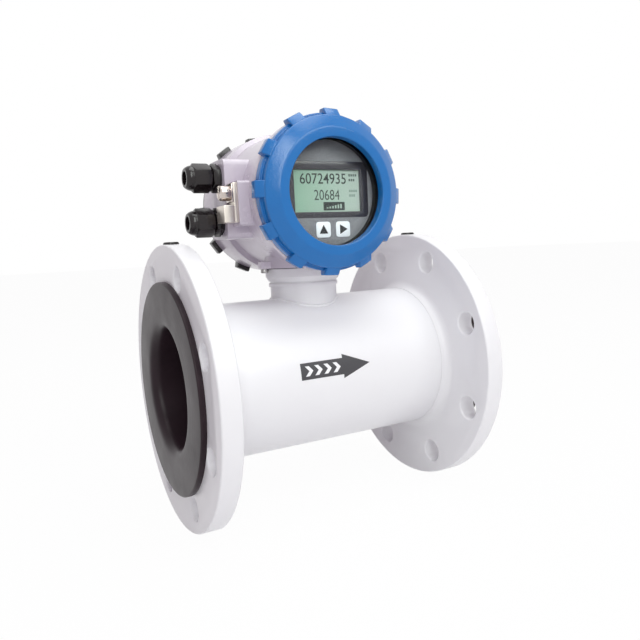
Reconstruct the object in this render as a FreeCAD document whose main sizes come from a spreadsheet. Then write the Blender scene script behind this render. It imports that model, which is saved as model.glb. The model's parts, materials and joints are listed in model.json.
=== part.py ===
import FreeCAD, Part
import Sketcher
import math
import os
import re

# Electromagnetic flow meter, 4 inch, with a converter on its neck.
# Frame: origin on the pipe axis at mid-length, +X along the flow, -Y to the display, +Z up.
# Millimetres throughout.

Vector = FreeCAD.Vector
Rotation = FreeCAD.Rotation
Placement = FreeCAD.Placement

SIZES = {
    # pipe section
    "laying_length": 254.0,
    "bore_diameter": 96.0,
    "bore_entry": 3.0,
    "liner_wall": 3.2,
    "flare_thickness": 4.5,
    "flare_diameter": 171.0,
    "flare_edge": 1.2,
    "tube_wall": 2.6,
    "flange_diameter": 229.0,
    "flange_thickness": 15.9,
    "flange_edge": 0.8,
    "bolt_circle": 190.5,
    "bolt_count": 8,
    "bolt_hole": 19.0,
    "hole_edge": 1.0,
    "weld_radius": 7.5,
    "weld_lip": 0.5,
    "casing_diameter": 128.4,
    "casing_wall": 3.0,
    "plug_hole": 10.0,
    "plug_depth": 12.0,
    "plug_head": 12.6,
    "plug_proud": 1.8,
    "plug_edge": 0.9,
    # field coils and electrodes
    "inner_gap": 0.2,
    "shoe_thickness": 1.2,
    "shoe_length": 96.0,
    "shoe_width": 92.0,
    "coil_thickness": 4.0,
    "coil_length": 88.0,
    "coil_width": 90.0,
    "coil_band": 18.0,
    "coil_corner": 12.0,
    "coil_window_corner": 6.0,
    "core_gap": 1.0,
    "yoke_thickness": 1.1,
    "yoke_length": 92.0,
    "yoke_window": 26.0,
    "lead_hole": 24.0,
    "electrode_head": 10.0,
    "electrode_head_depth": 2.0,
    "electrode_stem": 5.0,
    "electrode_reach": 59.6,
    "bush_diameter": 10.6,
    "bush_collar": 14.0,
    "bush_collar_depth": 1.5,
    "electrode_nut": 8.0,
    "electrode_nut_depth": 3.0,
    # neck
    "neck_top": 90.0,
    "neck_collar": 65.0,
    "neck_collar_height": 7.0,
    "neck_taper": 4.0,
    "neck_diameter": 60.0,
    "neck_groove": 1.2,
    "neck_groove_height": 1.6,
    "neck_bead_height": 3.0,
    "neck_bore": 24.0,
    "saddle_depth": 12.8,
    "neck_spigot": 48.0,
    "neck_spigot_height": 2.6,
    "gasket_depth": 0.6,
    "socket_gap": 0.4,
    "neck_screw": 5.0,
    "neck_screw_head": 8.5,
    "neck_screw_head_depth": 4.0,
    "neck_screw_socket": 4.2,
    "neck_screw_across": 20.0,
    "neck_screw_along": 32.4,
    "neck_screw_depth": 8.0,
    # converter housing
    "axis_height": 148.5,
    "housing_length": 122.2,
    "housing_offset": 11.9,
    "housing_diameter": 115.0,
    "housing_bore": 104.4,
    "rim_diameter": 123.0,
    "rim_width": 6.0,
    "rim_taper": 4.0,
    "rear_band": 36.0,
    "rear_band_diameter": 122.4,
    "wall_depth": 4.0,
    "spigot_diameter": 109.0,
    "spigot_length": 6.8,
    "seal_width": 1.6,
    "seal_depth": 1.0,
    "seal_start": 0.8,
    "lead_passage": 13.0,
    "boss_reach": 71.0,
    "boss_height": 64.0,
    "boss_front": 12.0,
    "boss_rear": 20.0,
    "boss_corner": 5.0,
    "boss_root": 41.0,
    "earth_pad_reach": 66.0,
    "earth_pad_front": 27.0,
    "earth_pad_top": 13.0,
    "earth_pad_bottom": 22.0,
    "ear_reach": 40.5,
    "ear_width": 10.0,
    "ear_height": 6.0,
    "ear_corner": 2.0,
    "foot_root": 12.0,
    "foot_relief": 1.0,
    "foot_margin": 2.0,
    "lock_screw": 4.0,
    "lock_screw_head": 6.4,
    "lock_screw_head_depth": 3.6,
    "lock_screw_socket": 3.2,
    "lock_screw_edge": 0.5,
    "lock_screw_place": 36.2,
    # covers
    "cover_depth": 19.3,
    "cover_gap": 0.3,
    "thread_gap": 0.5,
    "window_diameter": 82.8,
    "window_depth": 7.0,
    "face_diameter": 98.0,
    "cone_diameter": 114.8,
    "cone_end": 13.3,
    "rim_front": 7.3,
    "lug_span": 129.8,
    "lug_width": 12.8,
    "lug_count": 12,
    "front_cover_turn": -2.7,
    "rear_cover_turn": -6.0,
    "lug_start": 0.8,
    "lug_front": 8.2,
    "lug_edge": 0.8,
    "lug_root": 0.4,
    "step_gap": 1.5,
    "collar_gap": 0.4,
    "collar_lip": 0.5,
    "rear_wall": 4.5,
    "rear_seal_depth": 1.2,
    # window glass
    "glass_diameter": 99.8,
    "glass_thickness": 4.0,
    "glass_gap": 0.4,
    "glass_seal_depth": 0.8,
    "glass_seal_width": 6.5,
    "ring_depth": 4.2,
    # display
    "fascia_gap": 4.7,
    "fascia_diameter": 88.0,
    "fascia_thickness": 2.5,
    "bezel_width": 74.0,
    "bezel_height": 44.0,
    "bezel_up": 2.9,
    "bezel_corner": 4.0,
    "bezel_recess": 0.6,
    "bezel_depth": 0.8,
    "screen_width": 60.0,
    "screen_height": 33.0,
    "screen_up": 2.0,
    "screen_gap": 0.2,
    "screen_depth": 1.2,
    "module_margin": 3.0,
    "module_depth": 4.0,
    "key_width": 11.5,
    "key_height": 11.0,
    "key_corner": 2.0,
    "key_left": -6.0,
    "key_right": 12.0,
    "key_down": 28.5,
    "key_gap": 0.2,
    "key_proud": 0.6,
    "key_flange": 0.75,
    "key_flange_depth": 1.0,
    "key_back_gap": 0.1,
    "switch_size": 6.0,
    "switch_depth": 2.0,
    "post_length": 4.2,
    "post_place": 27.0,
    "post_diameter": 5.0,
    "board_thickness": 1.6,
    "display_board": 84.0,
    "small_screw": 2.4,
    "small_head": 4.6,
    "small_head_depth": 1.6,
    "small_head_edge": 0.4,
    "pillar_across": 36.0,
    "pillar_up": 13.0,
    "pillar_diameter": 5.5,
    "pillar_length": 20.7,
    "pillar_stud": 6.0,
    "main_board": 92.0,
    "transformer_across": -4.0,
    "transformer_up": -6.0,
    "transformer_length": 24.0,
    "transformer_width": 24.0,
    "transformer_height": 12.0,
    "connector_across": 21.0,
    "connector_up": -15.0,
    "connector_length": 14.0,
    "connector_width": 14.0,
    "connector_height": 7.0,
    "strip_across": 1.0,
    "strip_up": 26.0,
    "strip_length": 28.0,
    "strip_width": 8.0,
    "strip_height": 8.0,
    "can_diameter": 10.0,
    "can_height": 13.0,
    "can_across": 17.0,
    "can_up": 6.0,
    "can_row_across": 25.0,
    "can_row_down": 31.0,
    "can_pitch": 13.0,
    "foot_diameter": 8.0,
    "foot_height": 10.4,
    "bush_hole": 12.0,
    "bush_bore": 6.0,
    "bush_rim": 1.5,
    "bush_up": 30.0,
    # terminals
    "terminal_length": 66.0,
    "terminal_height": 16.0,
    "terminal_depth": 14.0,
    "terminal_foot": 20.0,
    "terminal_up": -18.0,
    "terminal_count": 8,
    "terminal_screw": 5.0,
    "terminal_screw_depth": 2.6,
    "terminal_screw_up": 3.2,
    "terminal_well": 5.0,
    "terminal_way": 9.0,
    "terminal_way_width": 3.4,
    "terminal_seat": 4.0,
    "terminal_slot": 1.0,
    "terminal_fixing": 29.0,
    # cable glands
    "gland_pitch": 35.6,
    "gland_behind": 4.0,
    "gland_thread": 16.6,
    "gland_thread_length": 12.0,
    "gland_hex": 20.5,
    "gland_washer": 21.2,
    "gland_washer_depth": 1.0,
    "gland_hex_depth": 5.5,
    "gland_neck": 14.8,
    "gland_neck_length": 10.0,
    "gland_bore": 10.4,
    "gland_entry": 9.2,
    "gland_mouth": 11.0,
    "gland_seal_length": 6.8,
    "gland_gap": 0.4,
    "nut_gap": 1.0,
    "nut_hex_length": 14.5,
    "nut_dome_length": 5.8,
    "nut_end_wall": 3.8,
    "nut_dome_end": 15.0,
    "nut_dome_root": 2.0,
    "nut_dome_step": 0.3,
    "nut_dome_radius": 8.1,
    "hex_chamfer": 1.2,
    # earth terminal
    "earth_forward": 19.5,
    "earth_up": 3.5,
    "earth_screw": 5.8,
    "earth_head": 12.0,
    "earth_head_depth": 8.5,
    "earth_slot": 1.6,
    "earth_slot_depth": 2.4,
    "earth_head_edge": 1.0,
    "earth_thread_length": 9.0,
    "clamp_plate": 3.5,
    "clamp_block": 7.0,
    "clamp_top": 8.0,
    "clamp_split": 10.0,
    "clamp_bottom": 23.0,
    "clamp_front": 6.0,
    "clamp_rear": 7.0,
    "clamp_slot": 2.0,
    "earth_washer": 14.0,
    "earth_washer_depth": 1.5,
    "earth_washer_width": 13.0,
    "fit_gap": 0.1,
    "end_gap": 0.5,
    "overcut": 1.0,
}

DOC = FreeCAD.newDocument("flow_meter")
SHEET = DOC.addObject("Spreadsheet::Sheet", "sizes")

# Directions that the local Z axis of a turned piece can take.
UPRIGHT = Rotation()
TO_FRONT = Rotation(Vector(1, 0, 0), 90)
TO_BACK = Rotation(Vector(1, 0, 0), -90)
DOWNSTREAM = Rotation(Vector(0, 1, 0), 90)
UPSTREAM = Rotation(Vector(0, 1, 0), -90)

# Places that several pieces share, as formulas over the sheet.
FACE_X = "(laying_length / 2 - flare_thickness)"
BACK_X = "(laying_length / 2 - flare_thickness - flange_thickness)"
BORE = "(bore_diameter / 2)"
TUBE_IN = "(bore_diameter / 2 + liner_wall)"
TUBE_OUT = "(bore_diameter / 2 + liner_wall + tube_wall)"
CASE_OUT = "(casing_diameter / 2)"
CASE_IN = "(casing_diameter / 2 - casing_wall)"
SHOE_IN = "(%s + inner_gap)" % TUBE_OUT
SHOE_OUT = "(%s + shoe_thickness)" % SHOE_IN
COIL_IN = "(%s + inner_gap)" % SHOE_OUT
COIL_OUT = "(%s + coil_thickness)" % COIL_IN
YOKE_IN = "(%s - inner_gap - yoke_thickness)" % CASE_IN
YOKE_OUT = "(%s - inner_gap)" % CASE_IN
BUSH_TOP = "(%s + bush_collar_depth)" % TUBE_OUT

FRONT_RIM = "(housing_length / 2 - housing_offset)"
REAR_RIM = "(housing_length / 2 + housing_offset)"
SPIGOT = "(spigot_diameter / 2)"
RIM = "(rim_diameter / 2)"
HOUSING_FOOT = "(neck_top + gasket_depth)"
FOOT_DROP = "(axis_height - neck_top - gasket_depth)"
COVER_BORE = "(spigot_diameter / 2 + thread_gap)"
COVER_STEP = "(spigot_length + step_gap)"
GLASS_POCKET = "(glass_diameter / 2 + glass_gap)"

# Depths in front of the housing's front rim.
GLASS_SEAT = "(cover_depth - window_depth)"
GLASS_FRONT = "(%s - glass_seal_depth)" % GLASS_SEAT
GLASS_REAR = "(%s - glass_thickness)" % GLASS_FRONT
FASCIA_FRONT = "(%s - fascia_gap)" % GLASS_REAR
FASCIA_REAR = "(%s - fascia_thickness)" % FASCIA_FRONT
BOARD_FRONT = "(%s - post_length)" % FASCIA_REAR
BOARD_REAR = "(%s - board_thickness)" % BOARD_FRONT
MAIN_FRONT = "(%s - pillar_length)" % BOARD_REAR
MAIN_REAR = "(%s - board_thickness)" % MAIN_FRONT
WALL_FRONT = "(%s - foot_height)" % MAIN_REAR
WALL_REAR = "(%s - wall_depth)" % WALL_FRONT

SCREW_REACH = "(neck_screw_across / 2 - neck_screw_head / 2)"
SCREW_SEAT = "(axis_height - sqrt((housing_bore / 2) ^ 2 - %s ^ 2))" % SCREW_REACH
NECK_BODY_FOOT = "(%s - saddle_depth)" % CASE_OUT
GLAND_NECK_END = "(gland_washer_depth + gland_hex_depth + gland_neck_length)"
NUT_START = "(gland_washer_depth + gland_hex_depth + nut_gap)"
NUT_HEX_END = "(%s + nut_hex_length)" % NUT_START
NUT_END = "(%s + nut_dome_length)" % NUT_HEX_END
EARTH_SEAT = "(clamp_plate + earth_washer_depth)"


def fill_sheet():
    """Writes each driving size to its own named cell."""
    for row, (alias, size) in enumerate(SIZES.items(), 1):
        SHEET.set("A%d" % row, alias)
        SHEET.set("B%d" % row, str(size))
        SHEET.setAlias("B%d" % row, alias)
    DOC.recompute()


def formula(text):
    """Turns the plain size names of a text into references to the sheet."""
    return re.sub(r"[a-z][a-z0-9_]*",
                  lambda word: "sizes." + word[0] if word[0] in SIZES else word[0], text)


def number(text):
    """The present value of a formula."""
    result = SHEET.evalExpression(formula(text))
    return float(getattr(result, "Value", result))


def bind(thing, prop, text):
    thing.setExpression(prop, formula(text))


def new_body(label, base=("0", "0", "0"), turn=UPRIGHT):
    """An empty body whose place is tied to the sheet."""
    body = DOC.addObject("PartDesign::Body", label)
    body.Label = label
    return place(body, base, turn)


def place(thing, base, turn=UPRIGHT):
    thing.Placement = Placement(Vector(*[number(text) for text in base]), turn)
    for axis, text in zip("xyz", base):
        bind(thing, ".Placement.Base." + axis, text)
    return thing


def origin_part(body, role):
    return next(part for part in body.Origin.OriginFeatures if part.Role == role)


def new_sketch(body, plane="XY_Plane", lift="0"):
    """A sketch on an origin plane of the body, or lifted off it along its normal."""
    sketch = body.newObject("Sketcher::SketchObject", body.Name + "_sketch")
    sketch.AttachmentSupport = (origin_part(body, plane), [""])
    sketch.MapMode = "FlatFace"
    if lift != "0":
        sketch.AttachmentOffset = Placement(Vector(0, 0, number(lift)), Rotation())
        bind(sketch, ".AttachmentOffset.Base.z", lift)
    return sketch


def tie_point(sketch, item, end, x, y):
    """Fixes one point of the sketch at two formulas."""
    for text, kind, axis in ((x, "DistanceX", -2), (y, "DistanceY", -1)):
        if text == "0":
            sketch.addConstraint(Sketcher.Constraint("PointOnObject", item, end, axis))
        else:
            rule = Sketcher.Constraint(kind, -1, 1, item, end, number(text))
            index = sketch.addConstraint(rule)
            bind(sketch, "Constraints[%d]" % index, text)


def tie_radius(sketch, item, text):
    index = sketch.addConstraint(Sketcher.Constraint("Radius", item, number(text)))
    bind(sketch, "Constraints[%d]" % index, text)


def short_arc(start, end, radius, side):
    """The arc below a half turn; side is +1 with its centre left of the way, -1 right."""
    chord = end - start
    rise = math.sqrt(max(radius ** 2 - (chord.Length / 2) ** 2, 0.0))
    left = Vector(-chord.y, chord.x, 0).normalize()
    centre = (start + end) * 0.5 + left * rise * side
    first, last = (start, end) if side > 0 else (end, start)
    angles = [math.atan2(p.y - centre.y, p.x - centre.x) for p in (first, last)]
    circle = Part.Circle(centre, Vector(0, 0, 1), radius)
    return Part.ArcOfCircle(circle, *angles)


def outline(sketch, points):
    """A closed outline with every corner tied to the sheet.

    A point is (x, y). With a radius and a side after them, an arc runs to the next point.
    """
    corners = [Vector(number(point[0]), number(point[1]), 0) for point in points]
    offset = sketch.GeometryCount
    count = len(points)
    ends = []
    for i, point in enumerate(points):
        start, end = corners[i], corners[(i + 1) % count]
        if len(point) == 2:
            sketch.addGeometry(Part.LineSegment(start, end))
            ends.append((1, 2))
        else:
            sketch.addGeometry(short_arc(start, end, number(point[2]), point[3]))
            ends.append((1, 2) if point[3] > 0 else (2, 1))
    for i in range(count):
        after = (i + 1) % count
        joint = (offset + i, ends[i][1], offset + after, ends[after][0])
        sketch.addConstraint(Sketcher.Constraint("Coincident", *joint))
    for i, point in enumerate(points):
        tie_point(sketch, offset + i, ends[i][0], point[0], point[1])
        if len(point) > 2:
            tie_radius(sketch, offset + i, point[2])
    return sketch


def circle(sketch, x, y, radius):
    """A full circle tied to the sheet by its centre and radius."""
    centre = Vector(number(x), number(y), 0)
    item = sketch.addGeometry(Part.Circle(centre, Vector(0, 0, 1), number(radius)))
    tie_point(sketch, item, 3, x, y)
    tie_radius(sketch, item, radius)
    return sketch


def rounded(left, bottom, right, top, radius):
    """The corners of a rectangle with round corners, for outline()."""
    arc = (radius, 1)
    return [
        ("%s + %s" % (left, radius), bottom),
        ("%s - %s" % (right, radius), bottom) + arc,
        (right, "%s + %s" % (bottom, radius)),
        (right, "%s - %s" % (top, radius)) + arc,
        ("%s - %s" % (right, radius), top),
        ("%s + %s" % (left, radius), top) + arc,
        (left, "%s - %s" % (top, radius)),
        (left, "%s + %s" % (bottom, radius)) + arc,
    ]


def rectangle(left, bottom, right, top):
    return [(left, bottom), (right, bottom), (right, top), (left, top)]


def hexagon(across):
    """The corners of a hexagon with two of its corners on the sketch's X axis."""
    reach = "%s / 2 / cos(30deg)" % across
    turns = [("%s * cos(%ddeg)" % (reach, angle), "%s * sin(%ddeg)" % (reach, angle))
             for angle in (60, 120, 240, 300)]
    return [(reach, "0"), turns[0], turns[1], ("-" + reach, "0"), turns[2], turns[3]]


def finish_feature(body, feature, sketch, removes):
    """Recomputes a feature and makes sure that it added or removed material."""
    sketch.Visibility = False
    before = 0.0 if body.Shape.isNull() else body.Shape.Volume
    body.Tip = feature
    DOC.recompute()
    change = body.Shape.Volume - before
    if (removes and change > -1e-6) or (not removes and change < 1e-6):
        raise RuntimeError("%s changed nothing" % feature.Name)
    return feature


def extrude(body, sketch, length, removes=False, reverse=False, both=False):
    """A pad or a pocket. A pad goes along the sketch's normal, a pocket against it."""
    kind = "PartDesign::Pocket" if removes else "PartDesign::Pad"
    feature = body.newObject(kind, body.Name + "_cut" if removes else body.Name + "_pad")
    feature.Profile = sketch
    feature.Reversed = reverse
    feature.Midplane = both
    bind(feature, "Length", length)
    return finish_feature(body, feature, sketch, removes)


def spin(body, sketch, axis="V_Axis", removes=False):
    """A revolution or a groove, a full turn about an axis of the sketch."""
    kind = "PartDesign::Groove" if removes else "PartDesign::Revolution"
    feature = body.newObject(kind, body.Name + "_groove" if removes else body.Name + "_turn")
    feature.Profile = sketch
    feature.ReferenceAxis = (sketch, [axis])
    feature.Angle = 360.0
    return finish_feature(body, feature, sketch, removes)


def around(body, feature, count):
    """Repeats a feature about the body's own Z axis."""
    pattern = body.newObject("PartDesign::PolarPattern", body.Name + "_pattern")
    pattern.Originals = [feature]
    pattern.Axis = (origin_part(body, "Z_Axis"), [""])
    pattern.Angle = 360.0
    bind(pattern, "Occurrences", count)
    body.Tip = pattern
    DOC.recompute()
    return pattern


def turned(label, points, base=("0", "0", "0"), turn=UPRIGHT):
    """A body turned about its own Z axis from (radius, height) points."""
    body = new_body(label, base, turn)
    spin(body, outline(new_sketch(body, "XZ_Plane"), points))
    return body


def ring(inner, bottom, outer, top):
    """The section of a plain ring."""
    return [(inner, bottom), (outer, bottom), (outer, top), (inner, top)]


def group(label, master, places):
    """Copies of one piece in one node, each at its own (base, turn)."""
    links = []
    for base, turn in places:
        link = DOC.addObject("App::Link", label + "_copy")
        link.LinkedObject = master
        links.append(place(link, base, turn))
    compound = DOC.addObject("Part::Compound", label)
    compound.Label = label
    compound.Links = links
    DOC.recompute()
    return compound


def front_place(depth="0"):
    """A place on the converter axis, so far in front of the housing's front rim."""
    return ("0", "-%s - %s" % (FRONT_RIM, depth), "axis_height")


def rear_place(depth="0"):
    return ("0", "%s + %s" % (REAR_RIM, depth), "axis_height")


# ---------------------------------------------------------------- pipe section

def flange(label, side):
    """A welded flange; side is -1 at the inlet and +1 at the outlet.

    Local Z runs from the outer face towards mid-length.
    """
    turn = DOWNSTREAM if side < 0 else UPSTREAM
    body = new_body(label, ("%d * %s" % (side, FACE_X), "0", "0"), turn)
    disc = "flange_diameter / 2"
    weld = "casing_diameter / 2 + weld_lip"
    spin(body, outline(new_sketch(body, "XZ_Plane"), [
        (TUBE_OUT, "0"),
        (disc + " - flange_edge", "0"),
        (disc, "flange_edge"),
        (disc, "flange_thickness - flange_edge"),
        (disc + " - flange_edge", "flange_thickness"),
        (weld + " + weld_radius", "flange_thickness", "weld_radius", -1),
        (weld, "flange_thickness + weld_radius"),
        (CASE_OUT, "flange_thickness + weld_radius"),
        (CASE_OUT, "flange_thickness"),
        (TUBE_OUT, "flange_thickness"),
    ]))
    half_step = "180deg / bolt_count"
    hole = extrude(body, circle(new_sketch(body), "bolt_circle / 2 * cos(%s)" % half_step,
                                "bolt_circle / 2 * sin(%s)" % half_step, "bolt_hole / 2"),
                   "flange_thickness", removes=True, reverse=True)
    around(body, hole, "bolt_count")
    top = new_sketch(body, "YZ_Plane", "%d * flange_diameter / 2" % side)
    extrude(body, circle(top, "0", "flange_thickness / 2", "plug_hole / 2"),
            "plug_depth", removes=True, reverse=side < 0)
    chamfer_circles(body, "bolt_hole / 2", "hole_edge")
    return body


def chamfer_circles(body, radius, size):
    """Chamfers every full circular edge of one radius."""
    wanted = number(radius)
    solid = body.Tip
    names = ["Edge%d" % (i + 1) for i, edge in enumerate(solid.Shape.Edges)
             if isinstance(edge.Curve, Part.Circle) and abs(edge.Curve.Radius - wanted) < 1e-6]
    chamfer = body.newObject("PartDesign::Chamfer", body.Name + "_chamfer")
    chamfer.Base = (solid, names)
    bind(chamfer, "Size", size)
    body.Tip = chamfer
    DOC.recompute()


def pipe_sleeve(label, inner, outer, half):
    """A plain tube on the pipe axis."""
    body = new_body(label)
    section = new_sketch(body, "XZ_Plane")
    outline(section, rectangle("-" + half, inner, half, outer))
    spin(body, section, "H_Axis")
    return body


def side_hole(body, radius, half_length):
    """A round hole across the pipe axis, along Y."""
    sketch = circle(new_sketch(body, "XZ_Plane"), "0", "0", radius)
    return extrude(body, sketch, "2 * %s" % half_length, removes=True, both=True)


def sensor_casing():
    body = pipe_sleeve("sensor_casing", CASE_IN, CASE_OUT, BACK_X)
    extrude(body, circle(new_sketch(body), "0", "0", "lead_hole / 2"),
            "casing_diameter / 2 + overcut", removes=True, reverse=True)
    return body


def measuring_tube():
    body = pipe_sleeve("measuring_tube", TUBE_IN, TUBE_OUT, FACE_X)
    side_hole(body, "bush_diameter / 2 + fit_gap", TUBE_OUT)
    return body


def rubber_liner():
    """The liner, flared over both flange faces with a rounded mouth."""
    body = new_body("rubber_liner")
    end = "laying_length / 2"
    flare = "flare_diameter / 2"
    section = new_sketch(body, "XZ_Plane")
    outline(section, [
        ("-%s + bore_entry" % end, BORE),
        ("%s - bore_entry" % end, BORE, "bore_entry", 1),
        (end, "%s + bore_entry" % BORE),
        (end, flare + " - flare_edge", "flare_edge", 1),
        (end + " - flare_edge", flare),
        (FACE_X, flare),
        (FACE_X, TUBE_IN),
        ("-" + FACE_X, TUBE_IN),
        ("-" + FACE_X, flare),
        ("-%s + flare_edge" % end, flare, "flare_edge", 1),
        ("-" + end, flare + " - flare_edge"),
        ("-" + end, "%s + bore_entry" % BORE, "bore_entry", 1),
    ])
    spin(body, section, "H_Axis")
    side_hole(body, "electrode_stem / 2 + fit_gap", TUBE_IN)
    side_hole(body, "electrode_head / 2 + fit_gap", "(%s + electrode_head_depth)" % BORE)
    return body


def both_sides(label, master):
    """The same piece on both ends of the electrode axis."""
    here = ("0", "0", "0")
    return group(label, master, [(here, TO_FRONT), (here, TO_BACK)])


def electrode_parts():
    """The two electrodes with their bushes and nuts, along the horizontal cross axis."""
    head = "%s + electrode_head_depth" % BORE
    electrode = turned("electrode_master", [
        ("0", BORE), ("electrode_head / 2", BORE), ("electrode_head / 2", head),
        ("electrode_stem / 2", head), ("electrode_stem / 2", "electrode_reach"),
        ("0", "electrode_reach")])
    bore = "electrode_stem / 2 + fit_gap"
    bush = turned("bush_master", [
        (bore, TUBE_IN + " + fit_gap"), ("bush_diameter / 2", TUBE_IN + " + fit_gap"),
        ("bush_diameter / 2", TUBE_OUT), ("bush_collar / 2", TUBE_OUT),
        ("bush_collar / 2", BUSH_TOP), (bore, BUSH_TOP)])
    nut = new_body("nut_master")
    face = new_sketch(nut, "XY_Plane", BUSH_TOP)
    outline(face, hexagon("electrode_nut"))
    circle(face, "0", "0", bore)
    extrude(nut, face, "electrode_nut_depth")
    return [both_sides("electrodes", electrode), both_sides("electrode_bushes", bush),
            both_sides("electrode_nuts", nut)]


def shell_cylinder(name, inner, outer, length):
    """A hollow cylinder on the pipe axis, for intersecting with a footprint."""
    solids = []
    for suffix, radius in (("_outer", outer), ("_inner", inner)):
        cylinder = DOC.addObject("Part::Cylinder", name + suffix)
        bind(cylinder, "Radius", radius)
        bind(cylinder, "Height", length)
        solids.append(place(cylinder, ("-%s / 2" % length, "0", "0"), DOWNSTREAM))
    cut = DOC.addObject("Part::Cut", name)
    cut.Base, cut.Tool = solids
    return cut


def footprint(name, length, width, corner, up, band=None):
    """A rounded block above or below the pipe; a band leaves a window in its middle."""
    body = new_body(name, turn=UPRIGHT if up > 0 else Rotation(Vector(1, 0, 0), 180))
    sketch = new_sketch(body)
    half_length, half_width = "(%s / 2)" % length, "(%s / 2)" % width
    outline(sketch, rounded("-" + half_length, "-" + half_width, half_length, half_width, corner))
    if band:
        inner_length = "(%s / 2 - %s)" % (length, band)
        inner_width = "(%s / 2 - %s)" % (width, band)
        outline(sketch, rounded("-" + inner_length, "-" + inner_width,
                                inner_length, inner_width, "coil_window_corner"))
    extrude(body, sketch, "casing_diameter / 2")
    return body


def saddle(name, shell, block, kind="Part::Common"):
    shape = DOC.addObject(kind, name)
    shape.Base, shape.Tool = shell, block
    shape.Label = name
    return shape


def coil_parts(side, up):
    """One saddle coil and its pole shoe, above or below the tube."""
    coil = saddle("coil_" + side,
                  shell_cylinder("coil_shell_" + side, COIL_IN, COIL_OUT, "coil_length"),
                  footprint("coil_block_" + side, "coil_length", "coil_width", "coil_corner",
                            up, "coil_band"))
    plate = saddle("shoe_plate_" + side,
                   shell_cylinder("shoe_shell_" + side, SHOE_IN, SHOE_OUT, "shoe_length"),
                   footprint("shoe_block_" + side, "shoe_length", "shoe_width", "coil_corner",
                             up))
    core_length = "(coil_length - 2 * coil_band - 2 * core_gap)"
    core_width = "(coil_width - 2 * coil_band - 2 * core_gap)"
    core = saddle("shoe_core_" + side,
                  shell_cylinder("core_shell_" + side, SHOE_IN, YOKE_IN, core_length),
                  footprint("core_block_" + side, core_length, core_width,
                            "coil_window_corner", up))
    shoe = saddle("pole_shoe_" + side, plate, core, "Part::Fuse")
    DOC.recompute()
    return [coil, shoe]


def return_yoke():
    body = pipe_sleeve("return_yoke", YOKE_IN, YOKE_OUT, "(yoke_length / 2)")
    side_hole(body, "yoke_window / 2", CASE_IN)
    return body


def flange_plugs():
    """Plastic plugs in the threaded lifting holes at the top of the flanges."""
    master = turned("plug_master", [
        ("0", "fit_gap - plug_depth"), ("plug_hole / 2 - fit_gap", "fit_gap - plug_depth"),
        ("plug_hole / 2 - fit_gap", "fit_gap"), ("plug_head / 2", "fit_gap"),
        ("plug_head / 2", "plug_proud - plug_edge"), ("plug_head / 2 - plug_edge", "plug_proud"),
        ("0", "plug_proud")])
    middle = "(%s - flange_thickness / 2)" % FACE_X
    return group("flange_plugs", master,
                 [(("%d * %s" % (side, middle), "0", "flange_diameter / 2"), UPRIGHT)
                  for side in (-1, 1)])


# ------------------------------------------------------------------------ neck

def neck():
    """The welded neck, saddled on the casing, with a collar under the converter."""
    collar_foot = "(neck_top - neck_collar_height)"
    taper_foot = "(%s - neck_taper)" % collar_foot
    groove_foot = "(%s - neck_groove_height)" % taper_foot
    bead_foot = "(%s - neck_bead_height)" % groove_foot
    outer = "neck_diameter / 2"
    slim = "neck_diameter / 2 - neck_groove"
    top = "neck_top + neck_spigot_height"
    blank = turned("neck_blank", [
        ("neck_bore / 2", NECK_BODY_FOOT), (slim, NECK_BODY_FOOT), (slim, bead_foot),
        (outer, bead_foot), (outer, groove_foot), (slim, groove_foot), (slim, taper_foot),
        (outer, taper_foot), ("neck_collar / 2", collar_foot), ("neck_collar / 2", "neck_top"),
        ("neck_spigot / 2", "neck_top"), ("neck_spigot / 2", top), ("neck_bore / 2", top)])
    sketch = new_sketch(blank, "XY_Plane", top)
    for x, y in neck_screw_places():
        circle(sketch, x, y, "neck_screw / 2 + fit_gap")
    extrude(blank, sketch, "neck_screw_depth + neck_spigot_height + end_gap", removes=True)
    saddle_tool = DOC.addObject("Part::Cylinder", "casing_envelope")
    bind(saddle_tool, "Radius", CASE_OUT)
    bind(saddle_tool, "Height", "neck_collar * 2")
    place(saddle_tool, ("-neck_collar", "0", "0"), DOWNSTREAM)
    return saddle("neck", blank, saddle_tool, "Part::Cut")


def neck_screw_places():
    across, along = "(neck_screw_across / 2)", "(neck_screw_along / 2)"
    return [(sx + across, sy + along) for sx in ("", "-") for sy in ("", "-")]


def neck_gasket():
    return turned("neck_gasket", ring("neck_spigot / 2 + fit_gap", "neck_top",
                                      "neck_collar / 2 - 2 * fit_gap", HOUSING_FOOT))


def neck_screws():
    """Socket-head screws that hold the converter down, put in from inside it."""
    master = turned("neck_screw_master", [
        ("0", "-neck_screw_depth"), ("neck_screw / 2", "-neck_screw_depth"),
        ("neck_screw / 2", "0"), ("neck_screw_head / 2", "0"),
        ("neck_screw_head / 2", "neck_screw_head_depth"), ("0", "neck_screw_head_depth")])
    socket = new_sketch(master, "XY_Plane", "neck_screw_head_depth")
    outline(socket, hexagon("neck_screw_socket"))
    extrude(master, socket, "neck_screw_head_depth / 2", removes=True)
    return group("neck_screws", master, [((x, y, SCREW_SEAT), UPRIGHT)
                                         for x, y in neck_screw_places()])


def neck_lock_screw():
    body = turned("neck_lock_screw", [
        ("0", "-lock_screw_head_depth"),
        ("lock_screw_head / 2 - lock_screw_edge", "-lock_screw_head_depth"),
        ("lock_screw_head / 2", "lock_screw_edge - lock_screw_head_depth"),
        ("lock_screw_head / 2", "0"), ("lock_screw / 2", "0"),
        ("lock_screw / 2", "ear_height - 2 * end_gap"), ("0", "ear_height - 2 * end_gap")],
        ("-lock_screw_place", "0", HOUSING_FOOT))
    socket = new_sketch(body, "XY_Plane", "-lock_screw_head_depth")
    outline(socket, hexagon("lock_screw_socket"))
    extrude(body, socket, "lock_screw_head_depth / 2", removes=True, reverse=True)
    return body


# ----------------------------------------------------------- converter housing

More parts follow.
